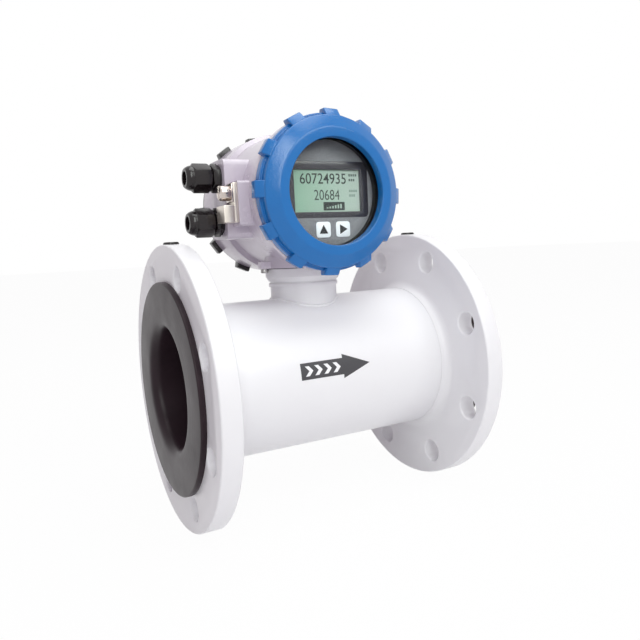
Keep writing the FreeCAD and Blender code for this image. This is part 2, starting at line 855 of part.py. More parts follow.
def converter_housing():
    """The cast housing: two round chambers back to back, gland boss, earth pad and foot.

    Local Z points to the display, local Y up, from the neck axis.
    """
    body = new_body("converter_housing", ("0", "0", "axis_height"), TO_FRONT)
    front, rear = FRONT_RIM, "(-%s)" % REAR_RIM
    waist = "housing_diameter / 2"
    groove = "spigot_diameter / 2 - seal_depth"
    spin(body, outline(new_sketch(body, "XZ_Plane"), [
        ("0", rear + " - spigot_length"),
        (SPIGOT, rear + " - spigot_length"),
        (SPIGOT, rear),
        ("rear_band_diameter / 2", rear),
        ("rear_band_diameter / 2", rear + " + rear_band"),
        (waist, rear + " + rear_band + rim_taper"),
        (waist, front + " - rim_width - rim_taper"),
        (RIM, front + " - rim_width"),
        (RIM, front),
        (SPIGOT, front),
        (SPIGOT, front + " + seal_start"),
        (groove, front + " + seal_start"),
        (groove, front + " + seal_start + seal_width"),
        (SPIGOT, front + " + seal_start + seal_width"),
        (SPIGOT, front + " + spigot_length"),
        ("0", front + " + spigot_length"),
    ]))
    side_bosses(body)
    foot_and_ear(body)
    chambers(body)
    foot_holes(body)
    side_holes(body)
    board_feet(body)
    return body


def side_bosses(body):
    """The gland boss and, in front of it, the lower pad for the earth terminal."""
    boss = new_sketch(body, "YZ_Plane", "-boss_reach")
    outline(boss, rounded("-boss_height / 2", "-boss_rear", "boss_height / 2", "boss_front",
                          "boss_corner"))
    extrude(body, boss, "boss_reach - boss_root")
    pad = new_sketch(body, "YZ_Plane", "-earth_pad_reach")
    outline(pad, rounded("-earth_pad_bottom", "0", "earth_pad_top", "earth_pad_front",
                         "boss_corner / 2"))
    extrude(body, pad, "earth_pad_reach - boss_root")


def foot_and_ear(body):
    """The relieved underside, the round foot over the neck collar and the lock screw's ear."""
    relief = circle(new_sketch(body, "XZ_Plane", FOOT_DROP + " - foot_relief"), "0", "0",
                    "neck_collar / 2 + foot_margin")
    extrude(body, relief, RIM, removes=True, reverse=True)
    foot = circle(new_sketch(body, "XZ_Plane", FOOT_DROP), "0", "0", "neck_collar / 2")
    extrude(body, foot, FOOT_DROP + " - housing_bore / 2 + foot_root", reverse=True)
    ear = new_sketch(body, "XZ_Plane", FOOT_DROP)
    half = "(ear_width / 2)"
    outline(ear, [("-neck_spigot / 2", "-" + half), ("-neck_spigot / 2", half),
                  ("-ear_reach + ear_corner", half), ("-ear_reach", half + " - ear_corner"),
                  ("-ear_reach", "ear_corner - " + half),
                  ("-ear_reach + ear_corner", "-" + half)])
    extrude(body, ear, "ear_height", reverse=True)


def chambers(body):
    """The display chamber in front of the dividing wall and the terminal chamber behind."""
    front_face = FRONT_RIM + " + spigot_length"
    sketch = circle(new_sketch(body, "XY_Plane", front_face), "0", "0", "housing_bore / 2")
    extrude(body, sketch, "spigot_length - " + WALL_FRONT, removes=True)
    rear_face = "-%s - spigot_length" % REAR_RIM
    sketch = circle(new_sketch(body, "XY_Plane", rear_face), "0", "0", "housing_bore / 2")
    extrude(body, sketch, "%s + spigot_length + %s + %s" % (REAR_RIM, FRONT_RIM, WALL_REAR),
            removes=True, reverse=True)


def foot_holes(body):
    """The socket for the neck spigot, the way for the leads and the screw holes."""
    floor = FOOT_DROP
    extrude(body, circle(new_sketch(body, "XZ_Plane", floor), "0", "0",
                         "neck_spigot / 2 + socket_gap / 2"),
            "neck_spigot_height - gasket_depth + socket_gap", removes=True)
    extrude(body, circle(new_sketch(body, "XZ_Plane", floor), "0", "0", "lead_passage / 2"),
            floor + " - housing_bore / 2 + overcut", removes=True)
    holes = new_sketch(body, "XZ_Plane", floor)
    seats = new_sketch(body, "XZ_Plane", "axis_height - " + SCREW_SEAT)
    for x, y in neck_screw_places():
        circle(holes, x, y, "neck_screw / 2 + 2 * fit_gap")
        circle(seats, x, y, "neck_screw_head / 2 + 4 * fit_gap")
    extrude(body, holes, "%s - %s + overcut" % (SCREW_SEAT, HOUSING_FOOT), removes=True)
    extrude(body, seats, "neck_screw_head_depth + overcut", removes=True)
    ear = circle(new_sketch(body, "XZ_Plane", floor), "-lock_screw_place", "0",
                 "lock_screw / 2 + fit_gap")
    extrude(body, ear, "ear_height - end_gap", removes=True)


def side_holes(body):
    """Threaded holes for the two glands and the earth screw."""
    glands = new_sketch(body, "YZ_Plane", "-boss_reach")
    for side in ("", "-"):
        circle(glands, side + "gland_pitch / 2", "-gland_behind", "gland_thread / 2 + fit_gap")
    extrude(body, glands, "boss_reach - boss_root", removes=True, reverse=True)
    earth = new_sketch(body, "YZ_Plane", "-earth_pad_reach")
    circle(earth, "earth_up", "earth_forward", "earth_screw / 2 + fit_gap")
    extrude(body, earth, "earth_thread_length + end_gap", removes=True, reverse=True)


def board_feet(body):
    """Cast feet for the main board in front and for the terminal block behind."""
    feet = new_sketch(body, "XY_Plane", "%s + %s" % (FRONT_RIM, WALL_FRONT))
    holes = new_sketch(body, "XY_Plane", "%s + %s" % (FRONT_RIM, MAIN_REAR))
    for x, y in pillar_places():
        circle(feet, x, y, "foot_diameter / 2")
        circle(holes, x, y, "small_screw / 2 + fit_gap")
    extrude(body, feet, "foot_height")
    extrude(body, holes, "pillar_stud - board_thickness + end_gap", removes=True)
    rear_feet = new_sketch(body, "XY_Plane", "%s + %s" % (FRONT_RIM, WALL_REAR))
    rear_holes = new_sketch(body, "XY_Plane", "%s + %s - terminal_foot" % (FRONT_RIM, WALL_REAR))
    for side in ("", "-"):
        circle(rear_feet, side + "terminal_fixing", "terminal_up", "foot_diameter / 2")
        circle(rear_holes, side + "terminal_fixing", "terminal_up", "small_screw / 2 + fit_gap")
    extrude(body, rear_feet, "terminal_foot", reverse=True)
    extrude(body, rear_holes, "terminal_foot", removes=True, reverse=True)
    way = circle(new_sketch(body, "XY_Plane", "%s + %s" % (FRONT_RIM, WALL_FRONT)),
                 "0", "bush_up", "bush_hole / 2")
    extrude(body, way, "wall_depth", removes=True)


def pillar_places():
    return [(sx + "pillar_across", sy + "pillar_up") for sx in ("", "-") for sy in ("", "-")]


# ---------------------------------------------------------------------- covers

def cover_outside():
    """The outer line of either screw cover, from the front face down to its skirt."""
    return [
        ("face_diameter / 2", "cover_depth"),
        ("cone_diameter / 2", "cone_end"),
        ("cone_diameter / 2", "rim_front"),
        (RIM, "rim_front"),
        (RIM, "cover_gap"),
        (COVER_BORE, "cover_gap"),
        (COVER_BORE, COVER_STEP),
    ]


def add_lugs(body):
    """Twelve grip lugs that carry on from the cone and stand out past the rim."""
    sketch = new_sketch(body, "XZ_Plane")
    root = COVER_BORE + " + lug_root"
    tip = "lug_span / 2"
    outline(sketch, [
        (root, "lug_start"),
        (tip + " - lug_edge", "lug_start"),
        (tip, "lug_start + lug_edge"),
        (tip, "lug_front - lug_edge"),
        (tip + " - lug_edge", "lug_front"),
        ("cone_diameter / 2", "cone_end"),
        (root, "cone_end"),
    ])
    around(body, extrude(body, sketch, "lug_width", both=True), "lug_count")


def stopped(turn, angle):
    """A direction turned about its own axis to where the thread comes to its stop."""
    return turn * Rotation(Vector(0, 0, 1), number(angle))


def front_cover():
    """The window cover, with an inner collar that holds the glass and its ring."""
    collar = "(housing_bore / 2 - collar_gap)"
    collar_end = GLASS_REAR + " - ring_depth - collar_lip"
    inside = [(collar, COVER_STEP), (collar, collar_end), (GLASS_POCKET, collar_end),
              (GLASS_POCKET, GLASS_SEAT), ("window_diameter / 2", GLASS_SEAT)]
    outside = [("window_diameter / 2", "cover_depth")] + cover_outside()
    body = turned("front_cover", outside + inside, front_place(),
                  stopped(TO_FRONT, "front_cover_turn"))
    add_lugs(body)
    return body


def rear_cover():
    """The blind cover over the terminals."""
    inner = "(housing_bore / 2 - collar_gap)"
    inside = [(inner, COVER_STEP), (inner, "cover_depth - rear_wall"),
              ("0", "cover_depth - rear_wall")]
    outside = [("0", "cover_depth")] + cover_outside()
    body = turned("rear_cover", outside + inside, rear_place(),
                  stopped(TO_BACK, "rear_cover_turn"))
    add_lugs(body)
    return body


def cover_rings():
    """The window glass, its seal and retaining ring, and the seals of both covers."""
    glass = turned("front_glass", [
        ("0", GLASS_REAR), ("glass_diameter / 2", GLASS_REAR),
        ("glass_diameter / 2", GLASS_FRONT), ("0", GLASS_FRONT)], front_place(), TO_FRONT)
    seal = turned("glass_gasket", ring("glass_diameter / 2 - glass_seal_width", GLASS_FRONT,
                                       "glass_diameter / 2", GLASS_SEAT),
                  front_place(), TO_FRONT)
    keeper = turned("glass_retaining_ring",
                    ring("window_diameter / 2", GLASS_REAR + " - ring_depth",
                         GLASS_POCKET + " - fit_gap", GLASS_REAR), front_place(), TO_FRONT)
    spigot_seal = turned("front_cover_seal",
                         ring("spigot_diameter / 2 - seal_depth + fit_gap",
                              "seal_start + fit_gap", SPIGOT + " + fit_gap",
                              "seal_start + seal_width - fit_gap"), front_place(), TO_FRONT)
    rear_seal = turned("rear_cover_seal",
                       ring("housing_bore / 2 + fit_gap", COVER_STEP + " - rear_seal_depth",
                            SPIGOT + " - fit_gap", COVER_STEP), rear_place(), TO_BACK)
    return [glass, seal, keeper, spigot_seal, rear_seal]


# --------------------------------------------------------------------- display

def padded_box(label, outer, bottom, height):
    """A prism from an outline, standing on a depth in front of the housing's front rim."""
    body = new_body(label, front_place(), TO_FRONT)
    extrude(body, outline(new_sketch(body, "XY_Plane", bottom), outer), height)
    return body


def centred(width, height, up, corner, margin="0"):
    """A rounded rectangle about the converter axis, raised by up."""
    half = "(%s / 2 + %s)" % (width, margin)
    low = "(%s - %s / 2 - %s)" % (up, height, margin)
    high = "(%s + %s / 2 + %s)" % (up, height, margin)
    return rounded("-" + half, low, half, high, corner)


def key_outline(place_x, margin, corner="key_corner"):
    left = "(%s - key_width / 2 - %s)" % (place_x, margin)
    right = "(%s + key_width / 2 + %s)" % (place_x, margin)
    low = "(-key_down - key_height / 2 - %s)" % margin
    high = "(-key_down + key_height / 2 + %s)" % margin
    return rounded(left, low, right, high, corner)


def post_places():
    return [(sx + "post_place", sy + "post_place") for sx in ("", "-") for sy in ("", "-")]


def display_fascia():
    """The moulded fascia with its screen and key openings and four posts behind."""
    body = new_body("display_fascia", front_place(), TO_FRONT)
    disc = circle(new_sketch(body, "XY_Plane", FASCIA_REAR), "0", "0", "fascia_diameter / 2")
    extrude(body, disc, "fascia_thickness")
    posts = new_sketch(body, "XY_Plane", FASCIA_REAR)
    holes = new_sketch(body, "XY_Plane", BOARD_FRONT)
    for x, y in post_places():
        circle(posts, x, y, "post_diameter / 2")
        circle(holes, x, y, "small_screw / 2 + fit_gap")
    extrude(body, posts, "post_length", reverse=True)
    extrude(body, holes, "post_length", removes=True, reverse=True)
    recess = new_sketch(body, "XY_Plane", FASCIA_FRONT)
    outline(recess, centred("bezel_width", "bezel_height", "bezel_up", "bezel_corner", "fit_gap"))
    extrude(body, recess, "bezel_recess", removes=True)
    openings = new_sketch(body, "XY_Plane", FASCIA_FRONT)
    outline(openings, centred("screen_width", "screen_height", "screen_up", "fit_gap"))
    for key in ("key_left", "key_right"):
        outline(openings, key_outline(key, "key_gap"))
    extrude(body, openings, "fascia_thickness", removes=True)
    return body


def lcd_bezel():
    body = new_body("lcd_bezel", front_place(), TO_FRONT)
    sketch = new_sketch(body, "XY_Plane", FASCIA_FRONT + " - bezel_recess")
    outline(sketch, centred("bezel_width", "bezel_height", "bezel_up", "bezel_corner"))
    outline(sketch, centred("screen_width", "screen_height", "screen_up", "fit_gap"))
    extrude(body, sketch, "bezel_depth")
    return body


def lcd_module():
    """The display module on its board, with the glass standing into the opening."""
    body = padded_box("lcd_module",
                      centred("screen_width", "screen_height", "screen_up", "key_corner",
                              "module_margin"), BOARD_FRONT, "module_depth")
    pane = new_sketch(body, "XY_Plane", "%s + module_depth" % BOARD_FRONT)
    outline(pane, centred("screen_width", "screen_height", "screen_up", "fit_gap",
                          "-screen_gap"))
    extrude(body, pane, "screen_depth")
    return body


def key(label, place_x):
    """A key cap with a flange behind the fascia that stops it from coming out."""
    flange_front = FASCIA_REAR + " - key_back_gap"
    body = padded_box(label, key_outline(place_x, "key_flange"),
                      flange_front + " - key_flange_depth", "key_flange_depth")
    cap = new_sketch(body, "XY_Plane", flange_front)
    outline(cap, key_outline(place_x, "0"))
    extrude(body, cap, "fascia_thickness + key_back_gap + key_proud")
    return body


def key_switches():
    masters = []
    for name, place_x in (("switch_left", "key_left"), ("switch_right", "key_right")):
        half = "(switch_size / 2)"
        masters.append(padded_box(name, rectangle(
            "%s - %s" % (place_x, half), "-key_down - " + half,
            "%s + %s" % (place_x, half), "-key_down + " + half), BOARD_FRONT, "switch_depth"))
    return gather("key_switches", masters)


def gather(label, pieces):
    compound = DOC.addObject("Part::Compound", label)
    compound.Label = label
    compound.Links = pieces
    DOC.recompute()
    return compound


def display_board():
    body = new_body("display_board", front_place(), TO_FRONT)
    sketch = circle(new_sketch(body, "XY_Plane", BOARD_REAR), "0", "0", "display_board / 2")
    for x, y in post_places() + pillar_places():
        circle(sketch, x, y, "small_screw / 2 + fit_gap")
    extrude(body, sketch, "board_thickness")
    return body


def small_screw_master(name, length):
    """A pan-head screw pointing down its own Z axis, its head above zero."""
    return turned(name, [
        ("0", "-" + length), ("small_screw / 2", "-" + length), ("small_screw / 2", "0"),
        ("small_head / 2", "0"), ("small_head / 2 - small_head_edge", "small_head_depth"),
        ("0", "small_head_depth")])


def in_front(x, y, depth):
    """A place across the converter axis at a depth in front of the front rim."""
    return (x, "-%s - %s" % (FRONT_RIM, depth), "axis_height + " + y)


def fascia_screws():
    master = small_screw_master("fascia_screw_master", "(board_thickness + post_length - end_gap)")
    return group("fascia_screws", master,
                 [(in_front(x, y, BOARD_REAR), TO_BACK) for x, y in post_places()])


def pillar_screws():
    master = small_screw_master("pillar_screw_master", "(board_thickness + pillar_stud - end_gap)")
    return group("pillar_screws", master,
                 [(in_front(x, y, BOARD_FRONT), TO_FRONT) for x, y in pillar_places()])


def board_pillars():
    """Hexagonal pillars between the boards, with studs into the cast feet."""
    master = new_body("pillar_master")
    extrude(master, outline(new_sketch(master), hexagon("pillar_diameter")), "pillar_length")
    extrude(master, circle(new_sketch(master), "0", "0", "small_screw / 2"),
            "pillar_stud", reverse=True)
    hole = circle(new_sketch(master, "XY_Plane", "pillar_length"), "0", "0",
                  "small_screw / 2 + fit_gap")
    extrude(master, hole, "pillar_stud", removes=True)
    return group("board_pillars", master,
                 [(in_front(x, y, MAIN_FRONT), TO_FRONT) for x, y in pillar_places()])


def main_board():
    """The measuring board with its transformer, capacitors and connectors soldered on."""
    body = new_body("main_board", front_place(), TO_FRONT)
    sketch = circle(new_sketch(body, "XY_Plane", MAIN_REAR), "0", "0", "main_board / 2")
    for x, y in pillar_places():
        circle(sketch, x, y, "small_screw / 2 + fit_gap")
    extrude(body, sketch, "board_thickness")
    for kind in ("transformer", "connector", "strip"):
        half_length, half_width = kind + "_length / 2", kind + "_width / 2"
        across, up = kind + "_across", kind + "_up"
        block = new_sketch(body, "XY_Plane", MAIN_FRONT)
        outline(block, rectangle("%s - %s" % (across, half_length), "%s - %s" % (up, half_width),
                                 "%s + %s" % (across, half_length), "%s + %s" % (up, half_width)))
        extrude(body, block, kind + "_height")
    cans = new_sketch(body, "XY_Plane", MAIN_FRONT)
    for x, y in (("can_across", "can_up"), ("-can_row_across", "-can_row_down"),
                 ("can_pitch - can_row_across", "-can_row_down")):
        circle(cans, x, y, "can_diameter / 2")
    extrude(body, cans, "can_height")
    return body


def feedthrough_bush():
    """The bush that carries the leads through the dividing wall."""
    wall = "wall_depth"
    rim = "bush_hole / 2 + bush_rim"
    body_radius = "bush_hole / 2 - fit_gap"
    return turned("feedthrough_bush", [
        ("bush_bore / 2", "-bush_rim"), (rim, "-bush_rim"), (rim, "0"), (body_radius, "0"),
        (body_radius, wall), (rim, wall), (rim, wall + " + bush_rim"),
        ("bush_bore / 2", wall + " + bush_rim")],
        in_front("0", "bush_up", WALL_REAR), TO_FRONT)


# ------------------------------------------------------------------- terminals

def terminal_place(x, y, depth):
    """A place behind the dividing wall, facing the rear cover."""
    return (x, "-%s - %s + %s" % (FRONT_RIM, WALL_REAR, depth), "axis_height + " + y)


def terminal_middles():
    """The middles of the terminals, spread between the two fixing screws."""
    span = "(2 * terminal_fixing - foot_diameter - terminal_screw)"
    return ["(%d / (terminal_count - 1) - 1 / 2) * %s" % (i, span)
            for i in range(int(number("terminal_count")))]


def terminal_block():
    """A screw terminal strip with a row of wire ways and screw wells."""
    body = new_body("terminal_block", terminal_place("0", "terminal_up", "terminal_foot"),
                    TO_BACK)
    half_length, half_height = "(terminal_length / 2)", "(terminal_height / 2)"
    sketch = outline(new_sketch(body), rectangle("-" + half_length, "-" + half_height,
                                                 half_length, half_height))
    extrude(body, sketch, "terminal_depth")
    fixings = new_sketch(body, "XY_Plane", "terminal_depth")
    for side in ("", "-"):
        circle(fixings, side + "terminal_fixing", "0", "small_head / 2 + 2 * fit_gap")
    extrude(body, fixings, "terminal_depth - terminal_seat", removes=True)
    stems = new_sketch(body, "XY_Plane", "terminal_depth")
    for side in ("", "-"):
        circle(stems, side + "terminal_fixing", "0", "small_screw / 2 + fit_gap")
    extrude(body, stems, "terminal_depth", removes=True)
    wells = new_sketch(body, "XY_Plane", "terminal_depth")
    ways = new_sketch(body, "XY_Plane", "terminal_depth")
    for middle in terminal_middles():
        circle(wells, middle, "terminal_screw_up", "terminal_screw / 2 + fit_gap")
        outline(ways, rectangle(
            middle + " - terminal_way_width / 2", "-" + half_height,
            middle + " + terminal_way_width / 2", "-%s + terminal_screw / 2" % half_height))
    extrude(body, wells, "terminal_well", removes=True)
    extrude(body, ways, "terminal_way", removes=True)
    return body


def terminal_screws():
    master = turned("terminal_screw_master", [
        ("0", "0"), ("terminal_screw / 2", "0"), ("terminal_screw / 2", "terminal_screw_depth"),
        ("0", "terminal_screw_depth")])
    slot = new_sketch(master, "XY_Plane", "terminal_screw_depth")
    outline(slot, rectangle("-terminal_screw", "-terminal_slot / 2", "terminal_screw",
                            "terminal_slot / 2"))
    extrude(master, slot, "terminal_slot", removes=True)
    return group("terminal_screws", master, [
        (terminal_place(middle, "terminal_up - terminal_screw_up",
                        "terminal_foot + terminal_depth - terminal_well"), TO_BACK)
        for middle in terminal_middles()])


def terminal_fixing_screws():
    master = small_screw_master("terminal_fixing_master",
                                "(terminal_seat + terminal_foot - end_gap)")
    return group("terminal_fixing_screws", master,
                 [(terminal_place(side + "terminal_fixing", "terminal_up",
                                  "terminal_foot + terminal_seat"), TO_BACK)
                  for side in ("", "-")])


# ---------------------------------------------------------------- cable glands

def gland_place(side):
    return ("-boss_reach", "gland_behind", "axis_height %s gland_pitch / 2" % side)


def gland_parts(name, side):
    """One cable gland: washer, body, rubber insert and dome nut. Local Z points outwards."""
    base = gland_place(side)
    washer = turned(name + "_gland_washer",
                    ring("gland_thread / 2 + fit_gap", "0", "gland_washer / 2",
                         "gland_washer_depth"), base, UPSTREAM)
    return [washer, gland_body(name, base), gland_seal(name, base), gland_nut(name, base)]


def gland_body(name, base):
    hex_end = "gland_washer_depth + gland_hex_depth"
    bore = "gland_bore / 2"
    thread = "gland_thread / 2"
    body = turned(name + "_gland_body", [
        (bore, "-gland_thread_length"), (thread, "-gland_thread_length"),
        (thread, hex_end), ("gland_neck / 2", hex_end),
        ("gland_neck / 2", GLAND_NECK_END), (bore, GLAND_NECK_END)], base, UPSTREAM)
    sketch = new_sketch(body, "XY_Plane", "gland_washer_depth")
    outline(sketch, hexagon("gland_hex"))
    circle(sketch, "0", "0", "(gland_bore + gland_thread) / 4")
    extrude(body, sketch, "gland_hex_depth")
    trim_corners(body, hex_end, 1)
    return body


def gland_seal(name, base):
    start = GLAND_NECK_END + " + gland_gap"
    return turned(name + "_gland_seal",
                  ring("gland_entry / 2", start, "gland_neck / 2", start + " + gland_seal_length"),
                  base, UPSTREAM)


def gland_nut(name, base):
    """The dome nut: a hexagon that runs out into a round, open dome."""
    body = new_body(name + "_gland_nut", base, UPSTREAM)
    bore = "gland_neck / 2 + gland_gap"
    sketch = outline(new_sketch(body, "XY_Plane", NUT_START), hexagon("gland_hex"))
    circle(sketch, "0", "0", bore)
    extrude(body, sketch, "nut_hex_length")
    trim_corners(body, NUT_HEX_END, 1)
    trim_corners(body, NUT_START, -1)
    inner_end = NUT_END + " - nut_end_wall"
    spin(body, outline(new_sketch(body, "XZ_Plane"), [
        (bore, NUT_HEX_END + " - nut_dome_root"),
        ("gland_hex / 2 - nut_dome_step", NUT_HEX_END + " - nut_dome_root"),
        ("gland_hex / 2 - nut_dome_step", NUT_HEX_END, "nut_dome_radius", 1),
        ("nut_dome_end / 2", NUT_END),
        ("gland_mouth / 2", NUT_END),
        ("gland_mouth / 2", inner_end),
        (bore, inner_end),
    ]))
    return body


def trim_corners(body, height, side):
    """Turns the corners of a hexagon down to a chamfer at one end."""
    reach = "(gland_hex / 2 / cos(30deg))"
    flat = "(gland_hex / 2)"
    drop = "%s %s hex_chamfer" % (height, "-" if side > 0 else "+")
    spin(body, outline(new_sketch(body, "XZ_Plane"), [
        (flat, height), (reach + " + overcut", height), (reach + " + overcut", drop),
        (reach + " + fit_gap", drop)]), removes=True)


# -------------------------------------------------------------- earth terminal

def earth_place():
    return ("-earth_pad_reach", "-earth_forward", "axis_height + earth_up")


def earth_clamp():
    """A bent metal clamp: a plate under the screw and a slotted wire block below it."""
    body = new_body("earth_clamp", earth_place(), UPSTREAM)
    extrude(body, outline(new_sketch(body), rectangle(
        "-clamp_split", "-clamp_front", "clamp_top", "clamp_rear")), "clamp_plate")
    extrude(body, outline(new_sketch(body), rectangle(
        "-clamp_bottom", "-clamp_front", "-clamp_split", "clamp_rear")), "clamp_block")
    extrude(body, circle(new_sketch(body, "XY_Plane", "clamp_plate"), "0", "0",
                         "earth_screw / 2 + 2 * fit_gap"), "clamp_plate", removes=True)
    slot = new_sketch(body, "XY_Plane", "clamp_block")
    outline(slot, rectangle("-clamp_bottom + clamp_slot", "-clamp_slot / 2",
                            "-clamp_split - clamp_slot", "clamp_slot / 2"))
    extrude(body, slot, "clamp_block / 2", removes=True)
    return body


def earth_washer():
    body = new_body("earth_washer", earth_place(), UPSTREAM)
    half = "(earth_washer / 2)"
    sketch = outline(new_sketch(body, "XY_Plane", "clamp_plate"), rectangle(
        "-" + half, "-clamp_front", half, "-clamp_front + earth_washer_width"))
    circle(sketch, "0", "0", "earth_screw / 2 + 2 * fit_gap")
    extrude(body, sketch, "earth_washer_depth")
    return body


def earth_screw():
    top = EARTH_SEAT + " + earth_head_depth"
    body = turned("earth_screw", [
        ("0", "-earth_thread_length"), ("earth_screw / 2", "-earth_thread_length"),
        ("earth_screw / 2", EARTH_SEAT), ("earth_head / 2", EARTH_SEAT),
        ("earth_head / 2", top + " - earth_head_edge"),
        ("earth_head / 2 - earth_head_edge", top), ("0", top)],
        earth_place(), UPSTREAM)
    slot = new_sketch(body, "XY_Plane", top)
    outline(slot, rectangle("-earth_head", "-earth_slot / 2", "earth_head", "earth_slot / 2"))
    extrude(body, slot, "earth_slot_depth", removes=True)
    return body


# ---------------------------------------------------------------------- making

def make_all():
    """Builds every sub-part and returns them in a fixed order."""
    pieces = [flange("inlet_flange", -1), flange("outlet_flange", 1), sensor_casing(),
              measuring_tube(), rubber_liner()]
    pieces += electrode_parts()
    pieces += coil_parts("upper", 1) + coil_parts("lower", -1)
    pieces += [return_yoke(), flange_plugs(), neck(), neck_gasket(), neck_screws(),
               neck_lock_screw(), converter_housing(), front_cover(), rear_cover()]
    pieces += cover_rings()
    pieces += [display_fascia(), lcd_bezel(), lcd_module(), key("key_up", "key_left"),
               key("key_right", "key_right"), key_switches(), display_board(), fascia_screws(),
               pillar_screws(), board_pillars(), main_board(), feedthrough_bush(),
               terminal_block(), terminal_screws(), terminal_fixing_screws()]
    pieces += gland_parts("upper", "+") + gland_parts("lower", "-")
    pieces += [earth_clamp(), earth_washer(), earth_screw()]
    return pieces


def check(pieces):
    """Stops with a message if anything in the document failed."""
    DOC.recompute()
    for thing in DOC.Objects:
        if "Invalid" in thing.State or "Error" in thing.State:
            raise RuntimeError("%s failed: %s" % (thing.Name, thing.State))
    for piece in pieces:
        if piece.Shape.isNull() or not piece.Shape.isValid() or not piece.Shape.Solids:
            raise RuntimeError("%s has no valid shape" % piece.Label)


def export(pieces):
    os.makedirs("parts", exist_ok=True)
    for piece in pieces:
        piece.Shape.exportStep("parts/%s.step" % piece.Label)
        print("%-24s solids %2d  volume %10.1f" % (
            piece.Label, len(piece.Shape.Solids), piece.Shape.Volume))


fill_sheet()
PIECES = make_all()
check(PIECES)
export(PIECES)
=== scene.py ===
"""Looks of the electromagnetic flow meter: finishes, fine pieces, light and camera."""

import json
import logging
import math
from dataclasses import dataclass
from enum import Enum
from typing import Callable, Optional, Sequence

import bmesh
import bpy
from mathutils import Matrix, Vector

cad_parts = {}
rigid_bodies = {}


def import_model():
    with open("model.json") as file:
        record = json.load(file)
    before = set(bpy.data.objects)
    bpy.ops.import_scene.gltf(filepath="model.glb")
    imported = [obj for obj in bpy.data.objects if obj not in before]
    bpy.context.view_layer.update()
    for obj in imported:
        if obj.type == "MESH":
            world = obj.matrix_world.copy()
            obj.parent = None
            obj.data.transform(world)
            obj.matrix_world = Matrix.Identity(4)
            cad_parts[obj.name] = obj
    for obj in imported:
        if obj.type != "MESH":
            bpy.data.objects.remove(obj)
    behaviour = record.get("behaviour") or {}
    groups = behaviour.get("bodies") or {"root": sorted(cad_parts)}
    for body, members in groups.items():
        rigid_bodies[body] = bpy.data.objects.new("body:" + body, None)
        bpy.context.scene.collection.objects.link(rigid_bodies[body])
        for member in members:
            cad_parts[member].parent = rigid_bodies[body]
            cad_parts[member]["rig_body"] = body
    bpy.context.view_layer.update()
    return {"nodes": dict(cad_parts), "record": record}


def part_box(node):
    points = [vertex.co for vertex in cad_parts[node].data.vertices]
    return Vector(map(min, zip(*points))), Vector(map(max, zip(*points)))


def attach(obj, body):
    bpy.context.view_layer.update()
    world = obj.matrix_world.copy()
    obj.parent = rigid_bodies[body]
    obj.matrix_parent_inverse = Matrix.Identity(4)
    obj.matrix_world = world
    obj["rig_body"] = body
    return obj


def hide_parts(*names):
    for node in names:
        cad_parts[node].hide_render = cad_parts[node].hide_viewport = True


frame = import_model()

logging.basicConfig(level=logging.INFO, format="%(message)s")
log = logging.getLogger("flow_meter")

Colour = tuple[float, float, float]
Point = tuple[float, float]
MERGE = 1e-6
PEEL_STEP = 3.7


# ------------------------------------------------------------------ directions

class Facing(Enum):
    """Which way the local Z axis of a turned or flat piece points."""

    FRONT = ((1, 0, 0), (0, 0, 1), (0, -1, 0))
    REAR = ((-1, 0, 0), (0, 0, 1), (0, 1, 0))
    LEFT = ((0, -1, 0), (0, 0, 1), (-1, 0, 0))
    RIGHT = ((0, 1, 0), (0, 0, 1), (1, 0, 0))

    def at(self, place: Sequence[float]) -> Matrix:
        """The matrix that takes a local point to its place on the object.

        Args:
            place: where the local origin lies, in metres.

        Returns:
            The turn and move as one matrix.
        """
        turn = Matrix(self.value).transposed().to_4x4()
        return Matrix.Translation(Vector(place)) @ turn


# -------------------------------------------------------------- shader helpers

def srgb(red: int, green: int, blue: int) -> Colour:
    """A display colour, 0 to 255 each, as the linear colour that shaders take."""
    def linear(level: int) -> float:
        """One channel's linear share."""
        share = level / 255
        return share / 12.92 if share <= 0.04045 else ((share + 0.055) / 1.055) ** 2.4
    return linear(red), linear(green), linear(blue)


class NodeTree:
    """Short calls for adding nodes to a tree and joining them."""

    def __init__(self, tree: bpy.types.NodeTree) -> None:
        """Starts on an empty tree."""
        self.tree = tree
        self.tree.nodes.clear()

    def add(self, kind: str, **values: object) -> bpy.types.Node:
        """Adds a node.

        Args:
            kind: the node's type name.
            values: properties of the node, or input sockets by name with _ for a space.

        Returns:
            The new node.
        """
        node = self.tree.nodes.new(kind)
        for name, value in values.items():
            socket = node.inputs.get(name.replace("_", " "))
            if hasattr(node, name) and socket is None:
                setattr(node, name, value)
            elif isinstance(value, bpy.types.NodeSocket):
                self.tree.links.new(value, socket)
            else:
                socket.default_value = value
        return node

    def join(self, start: bpy.types.NodeSocket, end: bpy.types.NodeSocket) -> None:
        """Links an output socket to an input socket."""
        self.tree.links.new(start, end)

    def calculate(self, operation: str, *values: object) -> bpy.types.NodeSocket:
        """Adds a math node.

        Args:
            operation: what it works out.
            values: its inputs in order, each a socket or a number.

        Returns:
            Its result.
        """
        node = self.add("ShaderNodeMath", operation=operation)
        for socket, value in zip(node.inputs, values):
            if isinstance(value, bpy.types.NodeSocket):
                self.join(value, socket)
            else:
                socket.default_value = value
        return node.outputs[0]

    def blend(self, share: bpy.types.NodeSocket, *shaders: bpy.types.Node) -> bpy.types.NodeSocket:
        """Mixes two shaders by a mask, which shows the second where it is 1."""
        mixed = self.add("ShaderNodeMixShader")
        for start, end in zip([share] + [shader.outputs[0] for shader in shaders], mixed.inputs):
            self.join(start, end)
        return mixed.outputs[0]


